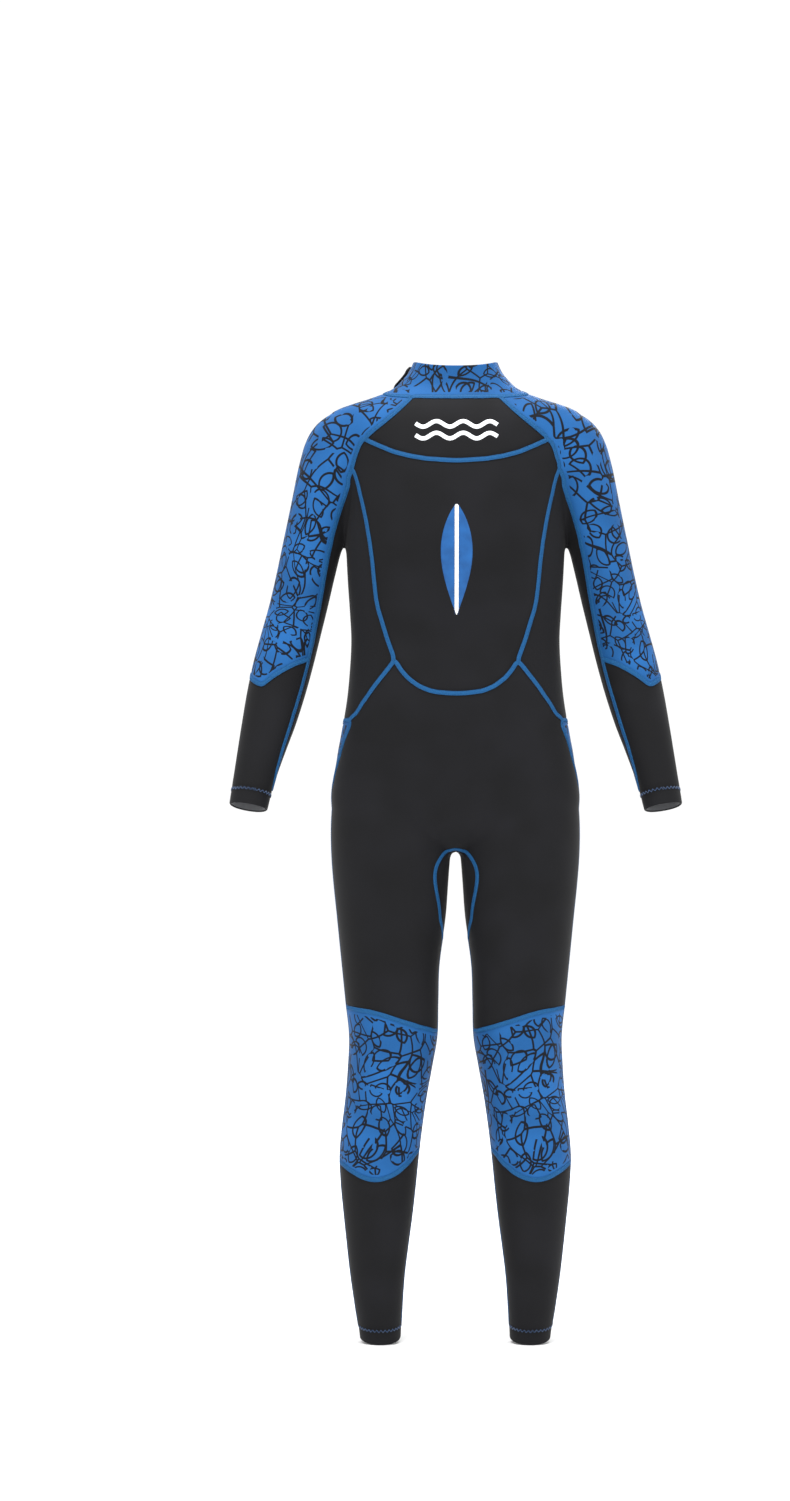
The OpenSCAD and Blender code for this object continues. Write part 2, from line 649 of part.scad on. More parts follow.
translate([0, middle_y, 0]) {
    collar();
    collar_tab();
    hook_patch();
    loop_patch();
    chest_yoke();
    chest_panel();
    front_panel();
    side_panel(-1);  // side_panel_right
    side_panel(1);  // side_panel_left
    hip_panel(-1);  // hip_panel_right
    hip_panel(1);  // hip_panel_left
    sleeve(-1);  // sleeve_right
    sleeve(1);  // sleeve_left
    forearm_panel(-1);  // forearm_panel_right
    forearm_panel(1);  // forearm_panel_left
    wrist_hem_ring(-1);  // wrist_hem_right
    wrist_hem_ring(1);  // wrist_hem_left
    crotch_gusset();
    knee_panel(-1);  // knee_panel_right
    knee_panel(1);  // knee_panel_left
    shin_panel(-1);  // shin_panel_right
    shin_panel(1);  // shin_panel_left
    back_leg(-1);  // back_leg_right
    back_leg(1);  // back_leg_left
    ankle_hem_ring(-1);  // ankle_hem_right
    ankle_hem_ring(1);  // ankle_hem_left
    seat_panel();
    back_panel(-1);  // back_panel_right
    back_panel(1);  // back_panel_left
    zip_tape(-1);  // zip_tape_right
    zip_tape(1);  // zip_tape_left
    zip_teeth(-1);  // zip_teeth_right
    zip_teeth(1);  // zip_teeth_left
    zip_stops();
    zip_slider();
    zip_pull();
    zip_end_patch();
    zip_baffle();
    yoke_mark();
    chest_mark();
    chest_mark_stripe();
    seam_collar();
    seam_yoke();
    seam_chest();
    seam_gusset();
    seam_back();
    seam_back_side(-1);  // seam_back_side_right
    seam_back_side(1);  // seam_back_side_left
    seam_sleeve(-1);  // seam_sleeve_right
    seam_sleeve(1);  // seam_sleeve_left
    seam_hip(-1);  // seam_hip_right
    seam_hip(1);  // seam_hip_left
    seam_knee(-1);  // seam_knee_right
    seam_knee(1);  // seam_knee_left
    seam_leg(-1);  // seam_leg_right
    seam_leg(1);  // seam_leg_left
    seam_forearm(-1);  // seam_forearm_right
    seam_forearm(1);  // seam_forearm_left
}
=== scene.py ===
"""A child's full wetsuit: printed and black neoprene panels, flatlocked together, with a back zip.

The suit's form is meshed from the same rows that its pattern was drawn on, cut along the seams of the
CAD panels, and each panel is then given its thickness, its lining and its sunk seam edges. Thread, zip,
tab and marks are laid on that form. Lengths are in millimetres until a mesh is made.
"""
import json
import math

import bpy
import numpy as np
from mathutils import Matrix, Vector
from mathutils.bvhtree import BVHTree
from mathutils.kdtree import KDTree


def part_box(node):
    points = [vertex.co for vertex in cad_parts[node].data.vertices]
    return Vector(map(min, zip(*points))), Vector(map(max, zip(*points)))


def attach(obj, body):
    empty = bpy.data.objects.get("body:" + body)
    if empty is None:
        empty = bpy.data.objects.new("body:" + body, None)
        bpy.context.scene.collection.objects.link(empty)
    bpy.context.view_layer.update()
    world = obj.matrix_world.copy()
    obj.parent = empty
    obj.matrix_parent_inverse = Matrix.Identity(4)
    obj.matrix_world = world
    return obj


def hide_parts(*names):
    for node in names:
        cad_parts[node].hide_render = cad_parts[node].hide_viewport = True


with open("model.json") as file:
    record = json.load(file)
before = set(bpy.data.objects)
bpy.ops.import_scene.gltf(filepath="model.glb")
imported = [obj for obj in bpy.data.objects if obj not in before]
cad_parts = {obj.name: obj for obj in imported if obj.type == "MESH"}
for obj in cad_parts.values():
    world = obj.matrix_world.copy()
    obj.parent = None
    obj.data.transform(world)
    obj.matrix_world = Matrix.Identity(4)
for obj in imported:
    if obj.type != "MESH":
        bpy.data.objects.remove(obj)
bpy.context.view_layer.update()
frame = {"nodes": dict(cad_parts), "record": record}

record = frame["record"]
MM = 0.001

# ---------------------------------------------------------------- sizes
SHEET = 3.0          # neoprene
GRID = 3.0           # spacing of the mesh that the form is caught in
SEAM_SINK = 0.8      # how far a panel's edge is drawn down under the stitches
HEM_SINK = 0.25      # and under a hem's stitches
SINK_REACH = 3.6     # how far from the seam that shows
MIDDLE_Y = 3.1       # the rows below are drawn this far forward of the frame's origin
FURROW = 28.0        # half width of the hollow along the spine
TORSO_ROUND = 2.3    # squareness of the rings: an ellipse is 2
LIMB_ROUND = 2.08
FILLET = 9.0         # rounds the armpits and the crotch
WRIST_HEM = 16.0
ANKLE_HEM = 15.0
RIM = 1.3            # how far a cut edge bulges where it shows
AWAY = 40.0          # a seam further off than this doesn't count
FORM_LOW = np.array([-262.0, -100.0, -11.0])    # corner of the box that the form is meshed in
FORM_SPAN = np.array([524.0, 200.0, 1142.0])

# Rows of the body form: height, half width, front depth, back depth, depth at the spine
TORSO = np.array([
    [562, 30, 22, 30, 28], [576, 70, 44, 58, 55], [592, 106, 58, 74, 70], [612, 135, 67, 84, 75],
    [640, 138.5, 72, 85, 72.5], [671, 135, 75, 80, 67.6],
    [693, 131, 76.5, 75, 67.2], [734, 124, 77, 67.5, 66.3],
    [770, 120.5, 75.5, 65.5, 65.5], [803, 119, 75, 65.5, 64.8], [834, 120.5, 78, 67, 64.1],
    [871, 123, 83, 71, 63.3], [912, 125, 87, 74.5, 62.5],
    [960, 127, 87, 75.5, 61.4], [995, 132, 84.5, 74, 60.7],
    [1016, 139, 81.5, 71.5, 60.2], [1034, 145, 78, 68.5, 59.9], [1050, 147, 73.5, 65, 59.5],
    [1062, 141, 68.5, 61.5, 59.3], [1070, 123, 64.5, 59, 58.6],
    [1077, 101, 61, 56.5, 56.5], [1082, 87, 58.5, 54, 54],
    [1087, 76, 56.5, 51, 51], [1092, 68, 55.5, 48.5, 48.5], [1100, 60, 55, 45, 45], [1109, 53, 55, 42, 42],
    [1128, 45, 55, 38, 38],
], float)
# Rows of a limb: height, half width, middle x, middle y, front depth, back depth
LEG = np.array([
    [-14, 22.5, 85.5, 15.5, 24, 25], [8, 23.7, 86, 15, 25, 26],
    [40, 27, 87.7, 14, 27.5, 29], [77, 31, 89, 13, 30, 33],
    [111, 35, 88.8, 11.5, 33, 37.5], [145, 39, 88.3, 10, 36, 41.5], [180, 42.6, 88, 8.5, 39, 45.5],
    [214, 45, 87, 7, 41.5, 48], [248, 45.6, 83.5, 5, 43, 48],
    [282, 46, 79, 3, 45, 47], [316, 47.7, 74.6, 0, 47.5, 46.5],
    [351, 50, 71, -3, 49.5, 48], [390, 52.6, 72.5, -2, 52, 52],
    [433, 55.5, 74, -1, 55.5, 57], [488, 62, 73, 0, 60.5, 66],
    [530, 65.7, 73.6, 0, 63, 73], [560, 68, 73.4, 0, 65, 77],
    [590, 70.3, 71.5, 0, 65, 80], [616, 70, 70.3, 0, 63, 78],
    [640, 67.5, 69.5, 0, 58.5, 70], [665, 60, 66.5, 0, 49, 57], [690, 40, 62, 0, 32, 38],
], float)
ARM = np.array([
    [586, 21.5, 241, -32.5, 22, 22], [612, 22.3, 235.5, -27, 23, 23], [630, 23.3, 232, -23, 24, 24],
    [652, 25, 227, -18, 25.5, 25.5], [680, 28, 220, -11, 28.5, 28.5], [707, 31, 213, -5, 31.5, 31.5],
    [741, 33.6, 205, 2, 34, 34], [775, 34.8, 197, 6.5, 35.5, 35.5], [810, 34.4, 188, 8, 35, 36],
    [844, 33.8, 179, 7.5, 35, 36], [878, 33.8, 171, 6, 36, 36.5], [912, 34.6, 163, 4, 38, 38],
    [940, 36.6, 155, 2.5, 40.5, 40.5], [967, 40, 146, 1, 43.5, 43.5], [995, 43.4, 137, 0, 46.5, 46.5],
    [1012, 44.2, 132, 0, 47, 47], [1028, 44, 127.3, 0, 47, 47], [1044, 40.5, 122, 0, 45, 45],
    [1056, 32, 117, 0, 38, 38], [1063, 16, 112, 0, 22, 22],
], float)


# ---------------------------------------------------------------- the form
def column(rows, c, z):
    """Column c of the rows at heights z, on a smooth curve through them."""
    i = np.clip(np.searchsorted(rows[:, 0], z, side="right") - 1, 0, len(rows) - 2)
    step = rows[i + 1, 0] - rows[i, 0]
    u = np.clip((z - rows[i, 0]) / step, 0, 1)
    low, high = np.maximum(i - 1, 0), np.minimum(i + 2, len(rows) - 1)
    slope_a = (rows[i + 1, c] - rows[low, c]) / (rows[i + 1, 0] - rows[low, 0])
    slope_b = (rows[high, c] - rows[i, c]) / (rows[high, 0] - rows[i, 0])
    return ((2 * u**3 - 3 * u**2 + 1) * rows[i, c] + (u**3 - 2 * u**2 + u) * step * slope_a
            + (3 * u**2 - 2 * u**3) * rows[i + 1, c] + (u**3 - u**2) * step * slope_b)


def ring_gap(dx, dy, wide, deep, squareness):
    """Distance outside a rounded ring of that half width and depth, less than 0 inside it."""
    size = ((np.abs(dx) / wide) ** squareness + (np.abs(dy) / deep) ** squareness) ** (1 / squareness)
    outside = (size - 1) * np.hypot(dx, dy) / np.maximum(size, 0.5)
    return np.where(size < 0.5, (size - 1) * np.minimum(wide, deep), outside)


def limb_gap(rows, side, y, z):
    dx = side - column(rows, 2, z)
    dy = y - column(rows, 3, z)
    deep = np.where(dy < 0, column(rows, 4, z), column(rows, 5, z))
    return ring_gap(dx, dy, column(rows, 1, z), deep, LIMB_ROUND)


def torso_gap(x, y, z):
    back, spine = column(TORSO, 3, z), column(TORSO, 4, z)
    hollow = back - (back - spine) * np.exp(-(x / FURROW) ** 2)
    deep = np.where(y < 0, column(TORSO, 2, z), hollow)
    return ring_gap(x, y, column(TORSO, 1, z), deep, TORSO_ROUND)


def joined(a, b):
    """The nearer of two forms, with a fillet where they meet."""
    overlap = np.maximum(FILLET - np.abs(a - b), 0) / FILLET
    return np.minimum(a, b) - overlap**2 * FILLET / 4


def suit_gap(x, y, z):
    """Distance outside the suit's outer face, less than 0 inside it."""
    y = y - MIDDLE_Y
    side = np.abs(x)
    torso = np.maximum(torso_gap(x, y, z), TORSO[0, 0] - z)
    arm = np.maximum(limb_gap(ARM, side, y, z), z - ARM[-1, 0])
    leg = np.maximum(limb_gap(LEG, side, y, z), z - LEG[-1, 0])
    return joined(joined(torso, arm), leg)


def gap_at(p):
    return suit_gap(p[:, 0], p[:, 1], p[:, 2])


def outward(p):
    """Directions straight out of the form at points p, and how fast the gap grows along them."""
    reach = 0.6
    slope = np.empty_like(p)
    for axis in range(3):
        step = np.zeros(3)
        step[axis] = reach
        slope[:, axis] = (gap_at(p + step) - gap_at(p - step)) / (2 * reach)
    rate = np.maximum(np.linalg.norm(slope, axis=1), 0.2)
    return slope / rate[:, None], rate


def on_form(p, rounds=2):
    """Points moved straight onto the suit's outer face."""
    for _ in range(rounds):
        normal, rate = outward(p)
        move = np.clip(gap_at(p) / rate, -GRID, GRID)
        p = p - normal * move[:, None]
    return p


def caught_in_grid():
    """The form as a mesh of near-square faces: corner points and faces of four."""
    counts = (FORM_SPAN / GRID).astype(int)
    xs, ys, zs = (FORM_LOW[a] + GRID * np.arange(counts[a] + 1) for a in range(3))
    gap = np.empty((len(xs), len(ys), len(zs)), np.float32)
    for k, z in enumerate(zs):
        gap[:, :, k] = suit_gap(xs[:, None], ys[None, :], np.array([[z]]))
    inside = gap < 0
    corners = [(a, b, c) for a in (0, 1) for b in (0, 1) for c in (0, 1)]
    nx, ny, nz = gap.shape
    count = sum(inside[a:nx - 1 + a, b:ny - 1 + b, c:nz - 1 + c].astype(np.int8) for a, b, c in corners)
    cells = np.argwhere((count > 0) & (count < 8))
    number = np.full((nx - 1, ny - 1, nz - 1), -1, np.int64)
    number[tuple(cells.T)] = np.arange(len(cells))
    total, crossings = np.zeros((len(cells), 3)), np.zeros(len(cells))
    for corner in corners:
        for axis in range(3):
            if corner[axis]:
                continue
            far_corner = list(corner)
            far_corner[axis] = 1
            a = gap[tuple((cells + corner).T)].astype(float)
            b = gap[tuple((cells + far_corner).T)].astype(float)
            crossed = (a < 0) != (b < 0)
            place = np.tile(np.array(corner, float), (len(cells), 1))
            place[:, axis] = np.where(crossed, a / np.where(crossed, a - b, 1), 0)
            total += place * crossed[:, None]
            crossings += crossed
    points = FORM_LOW + GRID * (cells + total / crossings[:, None])
    faces = []
    for axis in range(3):
        u, v = (axis + 1) % 3, (axis + 2) % 3
        start = np.moveaxis(inside, axis, 0)[:-1]
        end = np.moveaxis(inside, axis, 0)[1:]
        edges = np.argwhere(start != end)
        leaving = start[tuple(edges.T)]
        edges = edges[:, np.argsort([axis] + [a for a in range(3) if a != axis])]
        for flag in (True, False):
            at = edges[leaving == flag]
            at = at[(at[:, u] > 0) & (at[:, v] > 0)]
            at = at[(at[:, u] < number.shape[u]) & (at[:, v] < number.shape[v])]
            ring = []
            for du, dv in ((1, 1), (0, 1), (0, 0), (1, 0)):
                cell = at.copy()
                cell[:, u] -= du
                cell[:, v] -= dv
                ring.append(number[tuple(cell.T)])
            if flag:
                ring.reverse()
            faces.append(np.array(ring[::-1]).T)
    return points, np.concatenate(faces)


def edges_of(faces):
    """Both ways along every side of the faces of four."""
    edges = np.concatenate([faces[:, [a, (a + 1) % 4]] for a in range(4)])
    return np.concatenate([edges, edges[:, ::-1]])


def relaxed(points, faces, rounds):
    """The same mesh with its points evened out along the form."""
    edges = edges_of(faces)
    degree = np.bincount(edges[:, 0], minlength=len(points))[:, None]
    for _ in range(rounds):
        sums = [np.bincount(edges[:, 0], points[edges[:, 1], c], len(points)) for c in range(3)]
        middle = np.stack(sums, axis=1)
        points = on_form(0.4 * points + 0.6 * middle / np.maximum(degree, 1), 1)
    return on_form(points)


# ---------------------------------------------------------------- cutting the panels
def slots_of(names):
    return {s["node"]: s["material_slot"] for s in record["subparts"] if s["material_slot"] in names}


PANELS = [n for n in slots_of(("neoprene_black", "neoprene_print")) if n != "zip_end_patch"]
SEAMS = list(slots_of(("seam_thread",)))
MOUNTS = {m["name"]: m for m in record["mounts"]}
zip_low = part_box("zip_end_patch")[1][2] / MM + 0.3
collar_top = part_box("collar")[1][2] / MM
COLLAR_DIP = 10.0    # how far the collar's top edge dips at the throat
COLLAR_SEAM = 1087.0
COLLAR_RISE = 0.19   # slope of that seam towards the back
COLLAR_R = 50.0      # the collar's mean radius
OPENING = 8.0        # half the width of the zip's opening in the back
COLLAR_GAP = 4.0     # and of the gap in the collar


def nearest_node(names):
    """A function that says which of the named CAD nodes a point is nearest to."""
    corners, faces, owner = [], [], []
    for i, name in enumerate(names):
        mesh = frame["nodes"][name].data
        first = len(corners)
        corners += [v.co / MM for v in mesh.vertices]
        for polygon in mesh.polygons:
            faces.append([first + k for k in polygon.vertices])
            owner.append(i)
    tree = BVHTree.FromPolygons(corners, faces)
    return lambda p: owner[tree.find_nearest(Vector(p))[2]]


def collar_rim(y):
    """Height of the collar's top edge, which dips towards the throat."""
    return collar_top - COLLAR_DIP * np.clip((14 - (y - MIDDLE_Y)) / 69, 0, 1) ** 2.2


def past_hem(p, name):
    mount = MOUNTS[name]
    return (p - np.array(mount["pos_m"]) / MM) @ np.array(mount["axis"]) > 0


def past_opening(p):
    """True where a point lies beyond a hem, the collar's edge or the zip's opening."""
    x, y, z = p.T
    out = z > collar_rim(y)
    for side, low, high in (("right", x < 0, x < -150), ("left", x > 0, x > 150)):
        out |= low & (z < 100) & past_hem(p, "ankle_" + side)
        out |= high & (z < 700) & past_hem(p, "wrist_" + side)
    above_seam = z > COLLAR_SEAM + COLLAR_RISE * (y - MIDDLE_Y)
    half = np.where(above_seam, COLLAR_GAP, OPENING)
    return out | ((y > 0) & (z > zip_low) & (np.abs(x) < half))


def labelled(points, faces, nearest):
    """The panel that each point belongs to, or -1 beyond an opening."""
    label = np.array([nearest(p) for p in points])
    label[past_opening(points)] = -1
    edges = edges_of(faces)
    for _ in range(3):
        alike = np.bincount(edges[:, 0], label[edges[:, 0]] == label[edges[:, 1]], len(points))
        for lone in np.nonzero(alike <= 2)[0]:
            around = edges[edges[:, 0] == lone, 1]
            kinds, votes = np.unique(label[around], return_counts=True)
            if len(kinds) and label[lone] >= 0 and kinds[votes.argmax()] >= 0:
                label[lone] = kinds[votes.argmax()]
    return label


class Cutter:
    """Cuts faces whose corners belong to different panels along the border between them."""

    def __init__(self, points, label, nearest):
        self.points = [p for p in points]
        self.label = label
        self.nearest = nearest
        self.cuts = {}
        self.faces = {}
        self.borders = {}

    def panel_of(self, p):
        return -1 if past_opening(p[None])[0] else self.nearest(p)

    def cut(self, a, b):
        key = (min(a, b), max(a, b))
        if key not in self.cuts:
            start, end = self.points[key[0]], self.points[key[1]]
            mine = self.label[key[0]]
            low, high = 0.0, 1.0
            for _ in range(7):
                middle = (low + high) / 2
                if self.panel_of(start + (end - start) * middle) == mine:
                    low = middle
                else:
                    high = middle
            share = min(max((low + high) / 2, 0.04), 0.96)
            self.cuts[key] = self.added(start + (end - start) * share)
        return self.cuts[key]

    def added(self, p):
        self.points.append(p)
        return len(self.points) - 1

    def keep(self, label, face):
        if label >= 0:
            self.faces.setdefault(label, []).append(face)

    def border(self, a, b, label_a, label_b):
        pair = (min(label_a, label_b), max(label_a, label_b))
        self.borders.setdefault(pair, []).append((a, b))

    def triangle(self, a, b, c):
        la, lb, lc = self.label[a], self.label[b], self.label[c]
        if la == lb == lc:
            self.keep(la, (a, b, c))
        elif la != lb and lb != lc and lc != la:
            p, q, r = self.cut(a, b), self.cut(b, c), self.cut(c, a)
            m = self.added((self.points[p] + self.points[q] + self.points[r]) / 3)
            for label, face in ((la, (a, p, m, r)), (lb, (b, q, m, p)), (lc, (c, r, m, q))):
                self.keep(label, face)
            self.border(p, m, la, lb)
            self.border(q, m, lb, lc)
            self.border(r, m, lc, la)
        else:
            if la == lb:
                a, b, c = c, a, b
            elif la == lc:
                a, b, c = b, c, a
            la, lb = self.label[a], self.label[b]
            p, q = self.cut(a, b), self.cut(a, c)
            self.keep(la, (a, p, q))
            self.keep(lb, (p, b, c, q))
            self.border(p, q, la, lb)

    def run(self, faces):
        for face in faces:
            kinds = set(self.label[face])
            if len(kinds) == 1:
                self.keep(kinds.pop(), tuple(face))
            else:
                self.triangle(face[0], face[1], face[2])
                self.triangle(face[0], face[2], face[3])


def chained(segments):
    """Runs of points that the border's segments join up, as lists; a closed run ends where it starts."""
    near = {}
    for a, b in segments:
        near.setdefault(a, []).append(b)
        near.setdefault(b, []).append(a)
    starts = [v for v in near if len(near[v]) != 2] + list(near)
    used, runs = set(), []
    for start in starts:
        for following in near[start]:
            if (start, following) in used:
                continue
            run = [start, following]
            used |= {(start, following), (following, start)}
            while len(near[run[-1]]) == 2 and run[-1] != start:
                after = [v for v in near[run[-1]] if (run[-1], v) not in used]
                if not after:
                    break
                used |= {(run[-1], after[0]), (after[0], run[-1])}
                run.append(after[0])
            runs.append(run)
    return runs


def smoothed(line, rounds):
    """A run of points with its small steps taken out and its ends left where they are."""
    closed = np.allclose(line[0], line[-1])
    for _ in range(rounds):
        if closed:
            ring = line[:-1]
            ring = 0.5 * ring + 0.25 * (np.roll(ring, 1, 0) + np.roll(ring, -1, 0))
            line = np.concatenate([ring, ring[:1]])
        else:
            line = line.copy()
            line[1:-1] = 0.5 * line[1:-1] + 0.25 * (line[:-2] + line[2:])
    return line


def evenly(line, spacing):
    """Points every so often along a run."""
    lengths = np.concatenate([[0], np.cumsum(np.linalg.norm(np.diff(line, axis=0), axis=1))])
    count = max(int(round(lengths[-1] / spacing)), 1)
    along = np.linspace(0, lengths[-1], count + 1)
    return np.stack([np.interp(along, lengths, line[:, c]) for c in range(3)], axis=1)


# ---------------------------------------------------------------- making pieces
def placed(name, mesh, materials, body="suit", nodes=()):
    obj = bpy.data.objects.new(name, mesh)
    bpy.context.scene.collection.objects.link(obj)
    for material in materials:
        mesh.materials.append(material)
    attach(obj, body)
    if nodes:
        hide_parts(*nodes)
    return obj


def meshed(name, points, faces, smooth=True, uv=None):
    """A mesh from points in millimetres; uv gives each point its place on the cloth, in metres."""
    mesh = bpy.data.meshes.new(name)
    mesh.from_pydata((np.asarray(points) * MM).tolist(), [], [tuple(int(v) for v in f) for f in faces])
    mesh.polygons.foreach_set("use_smooth", np.full(len(mesh.polygons), smooth))
    if uv is not None:
        corner_points = np.empty(len(mesh.loops), np.int64)
        mesh.loops.foreach_get("vertex_index", corner_points)
        layer = mesh.uv_layers.new(name="flat")
        layer.data.foreach_set("uv", np.asarray(uv)[corner_points].astype(np.float32).ravel())
    mesh.update()
    return mesh


def grid_faces(rows, columns, first=0, turned=False):
    """Faces of a grid of points, as many columns as there are points in a row."""
    a = first + np.arange(rows - 1)[:, None] * columns + np.arange(columns - 1)[None, :]
    faces = np.stack([a, a + 1, a + columns + 1, a + columns], axis=-1).reshape(-1, 4)
    return faces[:, ::-1] if turned else faces


def swept(path, side, up, profile, closed=False):
    """Points and faces of a profile of [across, height] carried along a path, with its ends shut."""
    rings = path[:, None] + profile[None, :, :1] * side[:, None] + profile[None, :, 1:] * up[:, None]
    count, around = len(path), len(profile)
    faces = []
    last = count if closed else count - 1
    for i in range(last):
        here, there = i * around, ((i + 1) % count) * around
        for j in range(around):
            after = (j + 1) % around
            faces.append((here + j, here + after, there + after, there + j))
    if not closed:
        faces.append(tuple(range(around))[::-1])
        faces.append(tuple((count - 1) * around + j for j in range(around)))
    return rings.reshape(-1, 3), faces


def merged(parts):
    """One list of points and faces from several."""
    points, faces, first = [], [], 0
    for part_points, part_faces in parts:
        points.append(part_points)
        faces += [tuple(v + first for v in f) for f in part_faces]
        first += len(part_points)
    return np.concatenate(points), faces


def found(start, direction, offset, furthest=160.0):
    """Points reached from inside the form along a direction, where they lie that far over its face."""
    near, away = np.zeros(start.shape[:-1]), np.full(start.shape[:-1], furthest)
    for _ in range(22):
        middle = (near + away) / 2
        p = start + direction * middle[..., None]
        inside = suit_gap(p[..., 0], p[..., 1], p[..., 2]) < offset
        near, away = np.where(inside, middle, near), np.where(inside, away, middle)
    return start + direction * near[..., None]


def slab(start, direction, low, high, edge=0.5):
    """Points and faces of a thin piece that lies on the form, with its top edges rounded off."""
    rows, columns = start.shape[:2]
    tall = np.full((rows, columns), float(high))
    border = np.zeros((rows, columns), bool)
    border[[0, -1], :] = True
    border[:, [0, -1]] = True
    tall[border] = low + (high - low) * edge
    top = found(start, direction, tall)
    under = found(start, direction, np.full((rows, columns), float(low)))
    size = rows * columns
    faces = [tuple(f) for f in grid_faces(rows, columns)]
    faces += [tuple(f) for f in grid_faces(rows, columns, size, turned=True)]
    ring = [c for c in range(columns)] + [r * columns + columns - 1 for r in range(1, rows)]
    ring += [(rows - 1) * columns + c for c in range(columns - 2, -1, -1)]
    ring += [r * columns for r in range(rows - 2, 0, -1)]
    for a, b in zip(ring, ring[1:] + ring[:1]):
        faces.append((b, a, a + size, b + size))
    return np.concatenate([top.reshape(-1, 3), under.reshape(-1, 3)]), faces


def on_front(x, z):
    x, z = np.broadcast_arrays(x, z)
    start = np.stack([x, np.full(x.shape, MIDDLE_Y), z], axis=-1)
    return start, np.broadcast_to(np.array([0.0, -1.0, 0.0]), start.shape)


def on_back(x, z):
    start, direction = on_front(x, z)
    return start, -direction


def editing(obj):
    """Opens a piece for editing with all of it selected."""
    bpy.context.view_layer.objects.active = obj
    bpy.ops.object.select_all(action="DESELECT")
    obj.select_set(True)
    bpy.ops.object.mode_set(mode="EDIT")
    bpy.ops.mesh.select_all(action="SELECT")


def turned_out(obj):
    """Makes a closed mesh's faces all look outwards."""
    editing(obj)
    bpy.ops.mesh.normals_make_consistent(inside=False)
    bpy.ops.object.mode_set(mode="OBJECT")
    return obj


# ---------------------------------------------------------------- materials
LOOP_PITCH = 0.9     # the jersey's loops, drawn about twice as coarse as real ones so that they show
# The print: half a line's width, the plain margin at a seam, the walls' cells and the long curves
LINE, MARGIN, CELL, SWEEP = 1.0, 5.0, 32.0, 46.0
WANDER, DRIFT = 60.0, 20.0      # how wide and how far the lines wander
PETAL = ("petal", 27.0, 12.5, 6.0)      # pitch, radius and how far a circle is shifted
LOOP = ("loop", 35.0, 10.5, 3.5)


def linear(code):
    """A colour from its sRGB hex code."""
    parts = [int(code[i:i + 2], 16) / 255 for i in (1, 3, 5)]
    return [c / 12.92 if c <= 0.04045 else ((c + 0.055) / 1.055) ** 2.4 for c in parts] + [1.0]


def add(tree, kind, inputs=None, **settings):
    """Adds a node with its settings; an input is a value, or the output of another node."""
    node = tree.nodes.new("ShaderNode" + kind)
    for name, value in settings.items():
        setattr(node, name, value)
    for name, value in (inputs or {}).items():
        if isinstance(value, bpy.types.NodeSocket):
            tree.links.new(value, node.inputs[name])
        else:
            node.inputs[name].default_value = value
    return node


def finish_of(name, **sockets):
    """A new material with its shader: returns the material, its node tree and the shader."""
    material = bpy.data.materials.new(name)
    material.use_nodes = True
    tree = material.node_tree
    shader = tree.nodes["Principled BSDF"]
    for socket, value in sockets.items():
        shader.inputs[socket.replace("_", " ")].default_value = value
    return material, tree, shader


def on_cloth(tree):
    """Places on the cloth in millimetres, from the flat pattern."""
    flat = add(tree, "UVMap", uv_map="flat").outputs["UV"]
    return add(tree, "VectorMath", {0: flat, "Scale": 1 / MM}, operation="SCALE").outputs[0]


def in_space(tree):
    """Places on a moulded or sewn piece in millimetres."""
    place = add(tree, "TexCoord").outputs["Object"]
    return add(tree, "VectorMath", {0: place, "Scale": 1 / MM}, operation="SCALE").outputs[0]


def knitted(tree, shader, place, pitch, depth, dimensions="2D"):
    """Loops of a knitted face as bumps, over the slow unevenness of a stretched sheet."""
    loops = add(tree, "TexVoronoi", {"Vector": place, "Scale": 1 / pitch, "Randomness": 0.35},
                voronoi_dimensions=dimensions)
    swell = add(tree, "TexNoise", {"Vector": place, "Scale": 1 / 60, "Detail": 1.0},
                noise_dimensions=dimensions)
    fine = add(tree, "Bump", {"Height": loops.outputs["Distance"], "Strength": 0.5, "Distance": depth * MM})
    broad = add(tree, "Bump", {"Height": swell.outputs["Fac"], "Normal": fine.outputs[0],
                               "Strength": 0.3, "Distance": 0.8 * MM})
    tree.links.new(broad.outputs[0], shader.inputs["Normal"])
    return loops.outputs["Distance"], swell.outputs["Fac"]


def toned(tree, shader, dark, light, fac, low=0.0, high=1.0):
    """Base colour between two tones as fac goes from low to high."""
    share = add(tree, "MapRange", {"Value": fac, "From Min": low, "From Max": high})
    tone = add(tree, "Mix", {"Factor": share.outputs[0], "A": linear(dark), "B": linear(light)},
               data_type="RGBA")
    mixed = tone.outputs[2]
    if shader:
        tree.links.new(mixed, shader.inputs["Base Color"])
    return mixed


def one_texture(name, kind, inputs, output, tones, span, relief=None, settings=None, **sockets):
    """A finish whose two tones, and whose relief if it has one, follow a single texture."""
    material, tree, shader = finish_of(name, **sockets)
    texture = add(tree, kind, {"Vector": in_space(tree), **inputs}, **(settings or {}))
    height = texture.outputs[output]
    toned(tree, shader, *tones, height, *span)
    if relief:
        strength, distance = relief
        bump = add(tree, "Bump", {"Height": height, "Strength": strength, "Distance": distance * MM})
        tree.links.new(bump.outputs[0], shader.inputs["Normal"])
    return material, tree, shader, height


